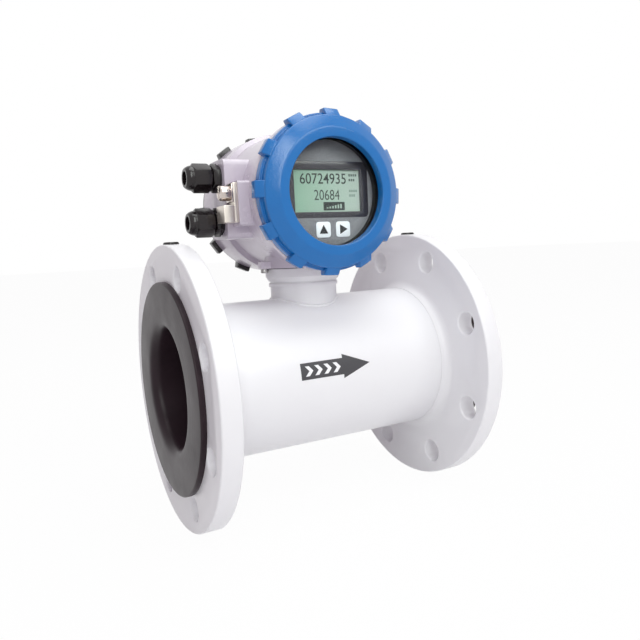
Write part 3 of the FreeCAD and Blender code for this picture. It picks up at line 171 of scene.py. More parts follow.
def new_material(name: str) -> tuple[bpy.types.Material, NodeTree, bpy.types.Node]:
    """An empty material, its tree and its output node."""
    made = bpy.data.materials.new(name)
    made.use_nodes = True
    tree = NodeTree(made.node_tree)
    return made, tree, tree.add("ShaderNodeOutputMaterial")


def placed(name: str, data: bpy.types.ID) -> bpy.types.Object:
    """A new object in the scene that holds some data."""
    made = bpy.data.objects.new(name, data)
    bpy.context.scene.collection.objects.link(made)
    return made


def middle_of(node: str) -> Vector:
    """The middle of a node's box."""
    low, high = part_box(node)
    return (low + high) / 2


def new_group(name: str, kind: str, inputs: dict[str, tuple[str, object]],
              outputs: dict[str, str]) -> tuple[NodeTree, bpy.types.Node, bpy.types.Node]:
    """A node group with named sockets.

    Args:
        name: the group's name.
        kind: ShaderNodeTree or GeometryNodeTree.
        inputs: socket name to its type and default value.
        outputs: socket name to its type.

    Returns:
        The tree, its input node and its output node.
    """
    group = bpy.data.node_groups.new(name, kind)
    for label, (socket_type, value) in inputs.items():
        socket = group.interface.new_socket(label, in_out="INPUT", socket_type=socket_type)
        if value is not None:
            socket.default_value = value
    for label, socket_type in outputs.items():
        group.interface.new_socket(label, in_out="OUTPUT", socket_type=socket_type)
    tree = NodeTree(group)
    return tree, tree.add("NodeGroupInput"), tree.add("NodeGroupOutput")


def peel_group() -> bpy.types.NodeTree:
    """The slow ripple that sprayed paint and moulded skins dry with."""
    tree, source, result = new_group(
        "paint_peel", "ShaderNodeTree",
        {"Scale": ("NodeSocketFloat", 500.0), "Fine Share": ("NodeSocketFloat", 0.3)},
        {"Height": "NodeSocketFloat"})
    place = tree.add("ShaderNodeTexCoord").outputs["Object"]
    slow = tree.add("ShaderNodeTexNoise", Vector=place, Scale=source.outputs["Scale"],
                    Detail=1.5, Roughness=0.45)
    finer = tree.calculate("MULTIPLY", source.outputs["Scale"], PEEL_STEP)
    fine = tree.add("ShaderNodeTexNoise", Vector=place, Scale=finer, Detail=2.0)
    mixed = tree.add("ShaderNodeMix", data_type="FLOAT", Factor=source.outputs["Fine Share"])
    tree.join(slow.outputs["Fac"], mixed.inputs["A"])
    tree.join(fine.outputs["Fac"], mixed.inputs["B"])
    tree.join(mixed.outputs["Result"], result.inputs["Height"])
    return tree.tree


def mottle_group() -> bpy.types.NodeTree:
    """Slight unevenness of a colour and of its gloss, in soft patches."""
    tree, source, result = new_group(
        "soft_mottle", "ShaderNodeTree",
        {"Colour": ("NodeSocketColor", (0.8, 0.8, 0.8, 1)),
         "Second Colour": ("NodeSocketColor", (0.7, 0.7, 0.7, 1)),
         "Scale": ("NodeSocketFloat", 30.0), "Amount": ("NodeSocketFloat", 0.3),
         "Gloss": ("NodeSocketFloat", 0.3), "Gloss Spread": ("NodeSocketFloat", 0.1)},
        {"Colour": "NodeSocketColor", "Roughness": "NodeSocketFloat"})
    place = tree.add("ShaderNodeTexCoord").outputs["Object"]
    patches = tree.add("ShaderNodeTexNoise", Vector=place, Scale=source.outputs["Scale"],
                       Detail=4.0, Roughness=0.6)
    share = tree.calculate("MULTIPLY", patches.outputs["Fac"], source.outputs["Amount"])
    colour = tree.add("ShaderNodeMix", data_type="RGBA", Factor=share)
    tree.join(source.outputs["Colour"], colour.inputs[6])
    tree.join(source.outputs["Second Colour"], colour.inputs[7])
    spread = tree.calculate("MULTIPLY_ADD", patches.outputs["Fac"],
                            source.outputs["Gloss Spread"], source.outputs["Gloss"])
    tree.join(colour.outputs[2], result.inputs["Colour"])
    tree.join(spread, result.inputs["Roughness"])
    return tree.tree


def turning_group() -> bpy.types.NodeTree:
    """Fine rings round the pipe axis, as a lathe or a mould leaves them."""
    tree, source, result = new_group(
        "turned_rings", "ShaderNodeTree", {"Scale": ("NodeSocketFloat", 300.0)},
        {"Height": "NodeSocketFloat"})
    place = tree.add("ShaderNodeTexCoord").outputs["Object"]
    across = tree.add("ShaderNodeMapping", Vector=place)
    across.inputs["Scale"].default_value = (0, 1, 1)
    radius = tree.add("ShaderNodeVectorMath", operation="LENGTH")
    tree.join(across.outputs[0], radius.inputs[0])
    rings = tree.add("ShaderNodeTexNoise", noise_dimensions="1D", Detail=3.0,
                     W=radius.outputs["Value"], Scale=source.outputs["Scale"])
    tree.join(rings.outputs["Fac"], result.inputs["Height"])
    return tree.tree


GROUPS = {"peel": peel_group(), "mottle": mottle_group(), "rings": turning_group()}


# -------------------------------------------------------------------- finishes

@dataclass(frozen=True)
class Finish:
    """A finish of one colour with soft mottling and a fine rippled skin."""

    name: str
    slot: str
    colour: Colour
    shade: Colour
    roughness: float = 0.4
    gloss_spread: float = 0.08
    metallic: float = 0.0
    coat: float = 0.0
    coat_roughness: float = 0.08
    specular: float = 0.5
    mottle_scale: float = 40.0
    mottle: float = 0.5
    skin_scale: float = 600.0
    skin_fine: float = 0.3
    skin_depth: float = 0.00005
    skin_strength: float = 0.3
    rings: bool = False

    def material(self) -> bpy.types.Material:
        """The material of this finish, made at its first use."""
        known = bpy.data.materials.get(self.name)
        if known:
            return known
        made, tree, output = new_material(self.name)
        self.build(tree, output)
        return made

    def base(self, tree: NodeTree) -> bpy.types.Node:
        """The Principled shader with its mottled colour and rippled skin.

        Args:
            tree: the material's tree.

        Returns:
            The shader node.
        """
        mottle = tree.add("ShaderNodeGroup", node_tree=GROUPS["mottle"],
                          Colour=(*self.colour, 1), Second_Colour=(*self.shade, 1),
                          Scale=self.mottle_scale, Amount=self.mottle,
                          Gloss=self.roughness - self.gloss_spread / 2,
                          Gloss_Spread=self.gloss_spread)
        skin = tree.add("ShaderNodeGroup", node_tree=GROUPS["rings" if self.rings else "peel"],
                        Scale=self.skin_scale)
        if not self.rings:
            skin.inputs["Fine Share"].default_value = self.skin_fine
        bump = tree.add("ShaderNodeBump", Strength=self.skin_strength, Distance=self.skin_depth,
                        Height=skin.outputs["Height"])
        shader = tree.add("ShaderNodeBsdfPrincipled", Metallic=self.metallic,
                          Specular_IOR_Level=self.specular, Coat_Weight=self.coat,
                          Coat_Roughness=self.coat_roughness)
        tree.join(mottle.outputs["Colour"], shader.inputs["Base Color"])
        tree.join(mottle.outputs["Roughness"], shader.inputs["Roughness"])
        tree.join(bump.outputs["Normal"], shader.inputs["Normal"])
        return shader

    def build(self, tree: NodeTree, output: bpy.types.Node) -> None:
        """Joins the shader to the material's output."""
        tree.join(self.base(tree).outputs[0], output.inputs["Surface"])


@dataclass(frozen=True)
class ScreenFinish(Finish):
    """A lit liquid crystal screen, greener at its left end: its paler right end is painted light,
    and its weak glow is painted light too.
    """

    # The paler right colour and the glow are painted light, not the screen's own colour.
    painted_light_right_colour: Colour = (0.5, 0.5, 0.5)
    left: float = -0.03
    right: float = 0.03
    painted_glow: float = 0.05

    def build(self, tree: NodeTree, output: bpy.types.Node) -> None:
        """Joins a screen shader whose colour runs across the glass, paler to the right as painted
        light, and glows weakly in that colour as painted light.
        """
        shader = self.base(tree)
        place = tree.add("ShaderNodeSeparateXYZ")
        tree.join(tree.add("ShaderNodeTexCoord").outputs["Object"], place.inputs[0])
        across = tree.add("ShaderNodeMapRange", From_Min=self.left, From_Max=self.right,
                          Value=place.outputs["X"])
        ramp = tree.add("ShaderNodeValToRGB", Fac=across.outputs["Result"])
        ramp.color_ramp.elements[0].color = (*self.colour, 1)
        ramp.color_ramp.elements[1].color = (*self.painted_light_right_colour, 1)
        # The ramp's paler right end is painted light, and the same colour feeds a weak painted
        # glow.
        for socket in ("Base Color", "Emission Color"):
            tree.join(ramp.outputs["Color"], shader.inputs[socket])
        shader.inputs["Emission Strength"].default_value = self.painted_glow
        tree.join(shader.outputs[0], output.inputs["Surface"])


@dataclass(frozen=True)
class WindowFinish(Finish):
    """Clear toughened glass that lets lamp light through to the display."""

    ior: float = 1.12

    def build(self, tree: NodeTree, output: bpy.types.Node) -> None:
        """Joins the glass, which is open to shadow rays."""
        shader = self.base(tree)
        shader.inputs["Transmission Weight"].default_value = 1.0
        shader.inputs["IOR"].default_value = self.ior
        shadow = tree.add("ShaderNodeLightPath").outputs["Is Shadow Ray"]
        clear = tree.add("ShaderNodeBsdfTransparent")
        tree.join(tree.blend(shadow, shader, clear), output.inputs["Surface"])


class Dress(Enum):
    """Every finish on the meter."""

    WHITE_PAINT = Finish("white_powder_coat", "white_paint", srgb(240, 240, 242),
                         srgb(232, 231, 234), 0.36, 0.06, coat=0.1, mottle_scale=18,
                         skin_scale=420, skin_depth=0.00006, skin_strength=0.18)
    HEAD_PAINT = Finish("pale_grey_enamel", "grey_paint", srgb(216, 208, 219),
                        srgb(196, 187, 201), 0.26, 0.1, coat=0.3, mottle_scale=26, mottle=0.9,
                        skin_scale=330, skin_depth=0.00014, skin_strength=0.5)
    BLUE_PAINT = Finish("blue_textured_enamel", "blue_paint", srgb(0, 110, 184),
                        srgb(0, 96, 168), 0.13, 0.05, mottle_scale=60, skin_scale=620,
                        skin_fine=0.35, skin_depth=0.0002, skin_strength=0.8)
    BLACK_PAINT = Finish("black_enamel", "black_paint", srgb(38, 34, 36), srgb(30, 27, 29),
                         0.28, 0.1, coat=0.3, skin_scale=480, skin_depth=0.0001,
                         skin_strength=0.4)
    LINER = Finish("moulded_liner_rubber", "liner", srgb(56, 42, 49), srgb(32, 25, 28), 0.34,
                   0.2, specular=0.16, mottle_scale=38, mottle=0.9, skin_scale=260,
                   skin_depth=0.0002, skin_strength=0.35, rings=True)
    SEAL = Finish("seal_rubber", "seal", srgb(30, 29, 30), srgb(22, 21, 22), 0.6, 0.1,
                  skin_scale=900, skin_strength=0.25)
    GLAND = Finish("black_nylon", "black_plastic", srgb(28, 21, 23), srgb(20, 15, 17), 0.2,
                   0.1, coat=0.15, specular=0.35, skin_scale=700, skin_depth=0.00004,
                   skin_strength=0.3)
    FASCIA = Finish("charcoal_fascia", "fascia", srgb(150, 151, 156), srgb(40, 42, 48), 0.5,
                    0.06, mottle_scale=1100, mottle=1.0, skin_scale=2200,
                    skin_depth=0.00003, skin_strength=0.5)
    BEZEL = Finish("dark_bezel", "bezel", srgb(44, 42, 50), srgb(38, 37, 44), 0.25, 0.05,
                   coat=0.4, skin_scale=900, skin_depth=0.00001, skin_strength=0.2)
    # The screen's paler right colour is painted light on the right end of the glass.
    SCREEN = ScreenFinish("screen_glass", "screen", srgb(124, 156, 137), srgb(124, 156, 137),
                          0.3, 0.02, skin_strength=0.05, painted_light_right_colour=srgb(158, 172, 164))
    INK = Finish("screen_ink", "bezel", srgb(34, 40, 40), srgb(28, 33, 34), 0.5, 0.02,
                 skin_strength=0.1)
    UNIT_INK = Finish("unit_screen_ink", "bezel", srgb(70, 82, 78), srgb(62, 74, 70), 0.5,
                      0.02, skin_strength=0.1)
    FAINT_INK = Finish("faint_screen_ink", "bezel", srgb(112, 132, 122),
                       srgb(106, 126, 116), 0.5, 0.02, skin_strength=0.1)
    KEY = Finish("white_key", "key_white", srgb(228, 232, 236), srgb(214, 218, 224), 0.35,
                 0.06, skin_scale=1500, skin_depth=0.00002, skin_strength=0.3)
    KEY_MARK = Finish("key_mark", "bezel", srgb(30, 30, 34), srgb(24, 24, 28), 0.4, 0.05,
                      skin_strength=0.1)
    PLATED = Finish("nickel_plate", "plated", srgb(214, 204, 198), srgb(186, 174, 168), 0.2,
                    0.16, 1.0, mottle_scale=160, mottle=0.9, skin_scale=1400,
                    skin_depth=0.00003, skin_strength=0.5)
    CLAMP = Finish("cast_clamp_metal", "clamp", srgb(236, 229, 220), srgb(212, 202, 192), 0.34,
                   0.2, 0.85, mottle_scale=140, mottle=0.9, skin_scale=900,
                   skin_depth=0.00005, skin_strength=0.5)
    STEEL = Finish("stainless_steel", "steel", srgb(196, 194, 192), srgb(168, 166, 165), 0.28,
                   0.12, 1.0, mottle_scale=120, mottle=0.8, skin_scale=1200,
                   skin_depth=0.00003, skin_strength=0.4)
    BRASS = Finish("brass", "brass", srgb(206, 172, 98), srgb(178, 142, 74), 0.3, 0.12, 1.0,
                   skin_scale=1200, skin_depth=0.00003)
    COPPER = Finish("enamelled_copper", "copper", srgb(196, 104, 60), srgb(150, 74, 40), 0.32,
                    0.1, 0.9, mottle_scale=200, skin_scale=1600, skin_depth=0.0001)
    INSULATOR = Finish("ivory_insulator", "insulator", srgb(232, 226, 210),
                       srgb(220, 212, 194), 0.45)
    BOARD = Finish("green_board", "board", srgb(24, 96, 54), srgb(18, 80, 46), 0.35,
                   coat=0.3, mottle_scale=200)
    TERMINAL = Finish("terminal_plastic", "terminal", srgb(52, 52, 56), srgb(44, 44, 48),
                      0.5, skin_scale=900)
    WINDOW = WindowFinish("window_glass", "window", (0.97, 0.985, 0.98), (0.97, 0.985, 0.98),
                          0.02, 0.0, specular=0.12, skin_strength=0.0)
    DECAL = Finish("arrow_print", "bezel", srgb(72, 71, 75), srgb(58, 57, 61), 0.4, 0.06,
                   mottle=0.9, skin_scale=420, skin_strength=0.1)
    DECAL_MARK = Finish("white_print", "white_paint", srgb(244, 244, 246),
                        srgb(238, 238, 240), 0.4, 0.04, skin_scale=420, skin_strength=0.1)


# ---------------------------------------------------------------- mesh helpers

def object_of(name: str, mesh: bmesh.types.BMesh, place: Matrix = Matrix()) -> bpy.types.Object:
    """An object at the origin with its place in its mesh.

    Args:
        name: the object's name.
        mesh: its geometry, freed afterwards.
        place: where the geometry goes.

    Returns:
        The linked object.
    """
    bmesh.ops.transform(mesh, matrix=place, verts=mesh.verts)
    data = bpy.data.meshes.new(name)
    mesh.to_mesh(data)
    mesh.free()
    return placed(name, data)


def smooth(piece: bpy.types.Object, angle: float = 32.0) -> None:
    """Smooth shading, broken at edges sharper than an angle in degrees."""
    mesh = bmesh.new()
    mesh.from_mesh(piece.data)
    for face in mesh.faces:
        face.smooth = True
    for edge in mesh.edges:
        turned = edge.calc_face_angle(math.pi) if len(edge.link_faces) == 2 else math.pi
        edge.smooth = turned < math.radians(angle)
    mesh.to_mesh(piece.data)
    mesh.free()


def settle(piece: bpy.types.Object) -> bpy.types.Object:
    """Turns a piece's live modifiers into its plain mesh."""
    ready = piece.evaluated_get(bpy.context.evaluated_depsgraph_get())
    mesh = bpy.data.meshes.new_from_object(ready)
    piece.modifiers.clear()
    old = piece.data
    piece.data = mesh
    bpy.data.meshes.remove(old)
    return piece


def soften(piece: bpy.types.Object, width: float, steps: int = 2, angle: float = 40.0) -> None:
    """Rounds a piece's sharp edges.

    Args:
        piece: the piece.
        width: how far back from the edge the rounding starts, in metres.
        steps: how many facets it has.
        angle: edges sharper than this are rounded, in degrees.
    """
    bevel = piece.modifiers.new("soft_edges", "BEVEL")
    bevel.width = width
    bevel.segments = steps
    bevel.limit_method = "ANGLE"
    bevel.angle_limit = math.radians(angle)
    settle(piece)


def dress(piece: bpy.types.Object, finish: Dress, body: str, stands_for: Sequence[str] = (),
          angle: float = 32.0) -> bpy.types.Object:
    """Gives a finished piece its material and its body.

    Args:
        piece: the piece.
        finish: what it is finished in.
        body: the body that it moves with.
        stands_for: the nodes that it is shown in place of.
        angle: edges sharper than this stay sharp, in degrees.

    Returns:
        The piece.
    """
    smooth(piece, angle)
    piece.data.materials.clear()
    piece.data.materials.append(finish.value.material())
    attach(piece, body)
    if stands_for:
        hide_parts(*stands_for)
    log.info("%-26s %-22s on %s, %d faces", piece.name, finish.value.name, body,
             len(piece.data.polygons))
    return piece


def body_of(node: str) -> str:
    """The body that a node belongs to."""
    return frame["nodes"][node]["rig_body"]


def coat_node(node: str, finish: Dress) -> None:
    """Finishes an inner node as it is."""
    piece = frame["nodes"][node]
    piece.data.materials.clear()
    piece.data.materials.append(finish.value.material())
    log.info("%-26s %-22s as it is", node, finish.value.name)


def skin(node: str, finish: Dress, edge: float = 0.0, angle: float = 32.0,
         steps: int = 2) -> bpy.types.Object:
    """A smooth copy of a node, with softened edges, shown in its place.

    Args:
        node: the node.
        finish: what it is finished in.
        edge: the width of its edge rounding, in metres.
        angle: edges sharper than this stay sharp in shading, in degrees.
        steps: facets of each rounded edge.

    Returns:
        The piece.
    """
    mesh = bmesh.new()
    mesh.from_mesh(frame["nodes"][node].data)
    bmesh.ops.remove_doubles(mesh, verts=mesh.verts, dist=MERGE)
    bmesh.ops.dissolve_limit(mesh, angle_limit=math.radians(0.5), verts=mesh.verts,
                             edges=mesh.edges)
    piece = object_of(node + "_skin", mesh)
    if edge:
        soften(piece, edge, steps)
    return dress(piece, finish, body_of(node), (node,), angle)


def lathe(name: str, line: Sequence[tuple[float, ...]], place: Matrix,
          steps: int = 144) -> bpy.types.Object:
    """A turned piece from half of its section.

    Args:
        name: the piece's name.
        line: closed outline of (radius, height) or (radius, height, rounding).
        place: where the local Z axis goes.
        steps: facets round the axis.

    Returns:
        The object.
    """
    points = rounded_line(line)
    mesh = bmesh.new()
    loop = [mesh.verts.new((radius, 0, height)) for radius, height in points]
    edges = [mesh.edges.new(pair) for pair in zip(loop, loop[1:] + loop[:1])]
    bmesh.ops.spin(mesh, geom=loop + edges, cent=(0, 0, 0), axis=(0, 0, 1),
                   angle=math.tau, steps=steps, use_duplicate=False)
    bmesh.ops.remove_doubles(mesh, verts=mesh.verts, dist=MERGE)
    flat = [edge for edge in mesh.edges if edge.calc_length() < MERGE]
    bmesh.ops.dissolve_degenerate(mesh, dist=MERGE, edges=flat)
    bmesh.ops.recalc_face_normals(mesh, faces=mesh.faces)
    return object_of(name, mesh, place)


def rounded_line(line: Sequence[tuple[float, ...]], steps: int = 6) -> list[Point]:
    """Replaces each corner that has a rounding by a short arc of points.

    Args:
        line: closed outline of (x, y) or (x, y, rounding).
        steps: points of each arc, less one.

    Returns:
        The plain outline.
    """
    result: list[Point] = []
    for index, corner in enumerate(line):
        here = Vector(corner[:2])
        if len(corner) < 3:
            result.append(tuple(here))
            continue
        before = Vector(line[index - 1][:2]) - here
        after = Vector(line[(index + 1) % len(line)][:2]) - here
        half = before.angle(after) / 2
        reach = min(corner[2] / math.tan(half), before.length * 0.49, after.length * 0.49)
        start = here + before.normalized() * reach
        end = here + after.normalized() * reach
        for step in range(steps + 1):
            share = step / steps
            near = start.lerp(here, share)
            far = here.lerp(end, share)
            result.append(tuple(near.lerp(far, share)))
    return result


def plate(name: str, line: Sequence[tuple[float, ...]], low: float, high: float,
          place: Matrix, edge: float = 0.0) -> bpy.types.Object:
    """A flat piece with an outline.

    Args:
        name: the piece's name.
        line: closed outline, anticlockwise, of (x, y) or (x, y, rounding).
        low: local height of its back.
        high: local height of its front.
        place: where the local axes go.
        edge: width of its edge rounding, in metres.

    Returns:
        The object.
    """
    mesh = bmesh.new()
    face = mesh.faces.new([mesh.verts.new((x, y, low)) for x, y in rounded_line(line)])
    grown = bmesh.ops.extrude_face_region(mesh, geom=[face])
    raised = [item for item in grown["geom"] if isinstance(item, bmesh.types.BMVert)]
    bmesh.ops.translate(mesh, verts=raised, vec=(0, 0, high - low))
    bmesh.ops.recalc_face_normals(mesh, faces=mesh.faces)
    piece = object_of(name, mesh, place)
    if edge:
        soften(piece, edge)
    return piece


def join(name: str, pieces: Sequence[bpy.types.Object]) -> bpy.types.Object:
    """One object with the meshes of several, which are used up."""
    mesh = bmesh.new()
    for piece in pieces:
        mesh.from_mesh(piece.data)
        bpy.data.objects.remove(piece)
    return object_of(name, mesh)


def thin_sheet(name: str, columns: int, rows: int, levels: Point,
               spot: Callable[[int, int, float], Vector]) -> bpy.types.Object:
    """A closed print, a grid of facets on its back and its front.

    Args:
        name: the piece's name.
        columns: facets along.
        rows: facets across.
        levels: heights of its back and front.
        spot: gives the point at a column, a row and a height.

    Returns:
        The object.
    """
    mesh = bmesh.new()
    for level in levels:
        for column in range(columns + 1):
            for row in range(rows + 1):
                mesh.verts.new(spot(column, row, level))
    mesh.verts.ensure_lookup_table()
    wide = rows + 1
    for base in (0, wide * (columns + 1)):
        for cell in range(columns * rows):
            first = base + cell // rows * wide + cell % rows
            corners = (first, first + wide, first + wide + 1, first + 1)
            mesh.faces.new([mesh.verts[item] for item in corners])
    rim = [edge for edge in mesh.edges if len(edge.link_faces) == 1]
    bmesh.ops.bridge_loops(mesh, edges=rim)
    bmesh.ops.remove_doubles(mesh, verts=mesh.verts, dist=MERGE)
    bmesh.ops.recalc_face_normals(mesh, faces=mesh.faces)
    return object_of(name, mesh)


def rectangle(width: float, height: float, corner: float = 0.0,
              middle: Point = (0.0, 0.0)) -> list[tuple[float, ...]]:
    """A rectangle's outline about a middle, with rounded corners where asked."""
    x, y = middle
    signs = ((-1, -1), (1, -1), (1, 1), (-1, 1))
    corners = [(x + a * width / 2, y + b * height / 2) for a, b in signs]
    return [(*point, corner) for point in corners] if corner else corners


# -------------------------------------------------------------- geometry nodes

def add_tree(piece: bpy.types.Object, tree: bpy.types.NodeTree,
             sizes: dict[str, object]) -> bpy.types.Object:
    """Runs a geometry tree on a piece and keeps its result as a plain mesh.

    Args:
        piece: the piece that the tree starts from.
        tree: the tree.
        sizes: the tree's inputs by name.

    Returns:
        The piece.
    """
    modifier = piece.modifiers.new("pattern", "NODES")
    modifier.node_group = tree
    for item in tree.interface.items_tree:
        if item.item_type == "SOCKET" and item.in_out == "INPUT" and item.name in sizes:
            modifier[item.identifier] = sizes[item.name]
    return settle(piece)


def end_tree(tree: NodeTree, shape: bpy.types.NodeSocket, source: bpy.types.Node,
             result: bpy.types.Node) -> bpy.types.NodeTree:
    """Ends a geometry tree in real geometry that carries its finish."""
    real = tree.add("GeometryNodeRealizeInstances", Geometry=shape)
    coloured = tree.add("GeometryNodeSetMaterial", Geometry=real.outputs[0],
                        Material=source.outputs["Finish"])
    tree.join(coloured.outputs[0], result.inputs["Geometry"])
    return tree.tree


def around_tree() -> bpy.types.NodeTree:
    """Copies of the input mesh at even steps round the local Z axis."""
    tree, source, result = new_group(
        "copies_around_axis", "GeometryNodeTree",
        {"Geometry": ("NodeSocketGeometry", None), "Count": ("NodeSocketInt", 12),
         "Start Angle": ("NodeSocketFloat", 0.0), "Finish": ("NodeSocketMaterial", None)},
        {"Geometry": "NodeSocketGeometry"})
    step = tree.calculate("DIVIDE", math.tau, source.outputs["Count"])
    points = tree.add("GeometryNodeMeshLine", Count=source.outputs["Count"])
    points.inputs["Offset"].default_value = (0, 0, 0)
    index = tree.add("GeometryNodeInputIndex").outputs[0]
    angle = tree.calculate("MULTIPLY_ADD", index, step, source.outputs["Start Angle"])
    turn = tree.add("ShaderNodeCombineXYZ", Z=angle)
    copies = tree.add("GeometryNodeInstanceOnPoints", Points=points.outputs[0],
                      Instance=source.outputs["Geometry"])
    tree.join(turn.outputs[0], copies.inputs["Rotation"])
    return end_tree(tree, copies.outputs[0], source, result)


def thread_tree() -> bpy.types.NodeTree:
    """A screw thread's ridge, as a helix round the local Z axis."""
    tree, source, result = new_group(
        "thread_ridge", "GeometryNodeTree",
        {"Geometry": ("NodeSocketGeometry", None), "Radius": ("NodeSocketFloat", 0.01),
         "Ridge": ("NodeSocketFloat", 0.0005), "Turns": ("NodeSocketFloat", 4.0),
         "Length": ("NodeSocketFloat", 0.006), "Finish": ("NodeSocketMaterial", None)},
        {"Geometry": "NodeSocketGeometry"})
    helix = tree.add("GeometryNodeCurveSpiral", Resolution=64,
                     Rotations=source.outputs["Turns"], Height=source.outputs["Length"])
    tree.join(source.outputs["Radius"], helix.inputs["Start Radius"])
    tree.join(source.outputs["Radius"], helix.inputs["End Radius"])
    ridge = tree.add("GeometryNodeCurvePrimitiveCircle", Resolution=6,
                     Radius=source.outputs["Ridge"])
    swept = tree.add("GeometryNodeCurveToMesh", Curve=helix.outputs[0],
                     Profile_Curve=ridge.outputs[0], Fill_Caps=True)
    return end_tree(tree, swept.outputs[0], source, result)


TREES = {"around": around_tree(), "thread": thread_tree()}


def thread(name: str, place: Matrix, radius: float, length: float, pitch: float,
           ridge: float, finish: Dress, body: str) -> bpy.types.Object:
    """A screw thread on a plain shank.

    Args:
        name: the piece's name.
        place: where the thread starts and which way it runs.
        radius: the shank's radius.
        length: how far the thread runs.
        pitch: its advance in one turn.
        ridge: its ridge's half height.
        finish: what it is finished in.
        body: the body that it moves with.

    Returns:
        The piece.
    """
    piece = object_of(name, bmesh.new())
    add_tree(piece, TREES["thread"], {
        "Radius": radius, "Ridge": ridge, "Turns": length / pitch, "Length": length,
        "Finish": finish.value.material()})
    piece.data.transform(place)
    return dress(piece, finish, body)


# ---------------------------------------------------------------- pipe section

@dataclass
class PipeSection:
    """Flanges, casing, liner, neck and the printed flow arrow."""

    edge: float = 0.0007
    arrow_left: float = -0.038
    arrow_shoulder: float = 0.0
    arrow_tip: float = 0.025
    arrow_up: float = math.radians(9.7)
    shaft_width: float = 0.0132
    head_width: float = 0.0196
    print_lift: float = 0.00012
    chevrons: int = 4
    chevron_height: float = 0.3
    chevron_stroke: float = 0.42
    chevron_nose: float = 0.42
    chevron_rows: int = 8
    tail_space: float = 0.45
    spare_steps: float = 0.6
    weld_ring: float = 0.0288
    weld_radius: float = 0.0016
    weld_steps: int = 180
    weld_facets: int = 6
    ripples: int = 60
    ripple_share: float = 0.1
    liner_wall: float = 0.0032
    bell: float = 0.009

    def build(self) -> None:
        """Makes and dresses the whole section."""
        for node in ("inlet_flange", "outlet_flange"):
            skin(node, Dress.WHITE_PAINT, self.edge, 28)
        skin("sensor_casing", Dress.WHITE_PAINT)
        skin("neck", Dress.WHITE_PAINT, 0.0004, 28)
        self.liner()
        skin("flange_plugs", Dress.GLAND, 0.0003)
        skin("neck_gasket", Dress.SEAL)
        skin("neck_lock_screw", Dress.STEEL, 0.0002)
        self.arrow()
        self.neck_weld()
        for node, finish in self.inner().items():
            coat_node(node, finish)

    def inner(self) -> dict[str, Dress]:
        """The sealed pieces and their finishes."""
        return {
            "measuring_tube": Dress.STEEL, "electrodes": Dress.STEEL,
            "electrode_nuts": Dress.STEEL, "electrode_bushes": Dress.INSULATOR,
            "coil_upper": Dress.COPPER, "coil_lower": Dress.COPPER,
            "pole_shoe_upper": Dress.STEEL, "pole_shoe_lower": Dress.STEEL,
            "return_yoke": Dress.STEEL, "neck_screws": Dress.STEEL,
        }

    def liner(self) -> None:
        """The liner: a sleeve turned out over both flanges, with wide bell mouths."""
        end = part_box("rubber_liner")[1].x
        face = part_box("inlet_flange")[0].x
        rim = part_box("rubber_liner")[1].z
        bore = self.flow_radius()
        sleeve = bore + self.liner_wall
        half = [(bore, end, self.bell), (rim, end, self.edge * 2), (rim, -face),
                (sleeve, -face)]
        line = half + [(radius, -along, *rest) for radius, along, *rest in reversed(half)]
        dress(lathe("liner_sleeve", line, Facing.RIGHT.at((0, 0, 0)), 160), Dress.LINER,
              "meter", ("rubber_liner",), 40)

    @staticmethod
    def flow_radius() -> float:
        """The bore's radius, from the record's mount."""
        mounts = {mount["name"]: mount for mount in frame["record"]["mounts"]}
        return mounts["flow_bore"]["dims"]["r_mm"] / 1000

    def casing_radius(self) -> float:
        """The casing's outer radius, from the frame."""
        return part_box("sensor_casing")[1].z

    def wrap(self, along: float, across: float, lift: float) -> Vector:
        """A flat print's point laid on the casing.

        Args:
            along: distance along the pipe.
            across: distance round the casing from the print's middle line.
            lift: height above the paint.

        Returns:
            The point.
        """
        radius = self.casing_radius() + lift
        angle = self.arrow_up + across / self.casing_radius()
        return Vector((along, -radius * math.cos(angle), radius * math.sin(angle)))

    def wrapped(self, name: str, spans: Callable[[float], Optional[Point]], left: float,
                right: float, lift: float, columns: int = 60, rows: int = 10) -> bpy.types.Object:
        """A thin print on the casing between two lines.

        Args:
            name: the piece's name.
            spans: the lowest and highest line at a place along the pipe.
            left: where the print starts.
            right: where it ends.
            lift: its height above the paint.
            columns: facets along.
            rows: facets across.

        Returns:
            The object.
        """
        def spot(column: int, row: int, level: float) -> Vector:
            """The print's point at a column and a row."""
            along = left + (right - left) * column / columns
            low, high = spans(along)
            return self.wrap(along, low + (high - low) * row / rows, level)

        return thin_sheet(name, columns, rows, (0.0, lift), spot)

    def arrow(self) -> None:
        """The printed arrow that shows the flow, with plain chevrons along its shaft."""
        shaft = self.shaft_width / 2
        head = self.head_width / 2
        reach = self.arrow_tip - self.arrow_shoulder

        def on_head(along: float) -> Point:
            """The head's half width tapers to the tip."""
            half = head * max(0.0, (self.arrow_tip - along) / reach)
            return -half, half

        tail = self.wrapped("flow_arrow_shaft", lambda along: (-shaft, shaft), self.arrow_left,
                            self.arrow_shoulder, self.print_lift)
        dress(tail, Dress.DECAL, "meter")
        point = self.wrapped("flow_arrow_head", on_head, self.arrow_shoulder, self.arrow_tip,
                             self.print_lift)
        dress(point, Dress.DECAL, "meter")
        step = (self.arrow_shoulder - self.arrow_left) / (self.chevrons + self.spare_steps)
        for index in range(self.chevrons):
            self.chevron(index, self.arrow_left + step * (index + self.tail_space), step)

    def chevron(self, index: int, start: float, step: float) -> None:
        """One white chevron of the arrow's shaft.

        Args:
            index: its number from the tail.
            start: where its tail lies.
            step: the distance to the next one.
        """
        half = self.shaft_width * self.chevron_height
        rows = self.chevron_rows

        def spot(column: int, row: int, level: float) -> Vector:
            """A point on the back or front edge of the stroke, bent to a nose."""
            across = half * (row / rows - 1)
            nose = (1 - abs(across) / half) * step * self.chevron_nose
            return self.wrap(start + column * step * self.chevron_stroke + nose, across, level)

        levels = (self.print_lift * 0.5, self.print_lift * 2)
        dress(thin_sheet("flow_chevron_%d" % index, 1, 2 * rows, levels, spot),
              Dress.DECAL_MARK, "meter")

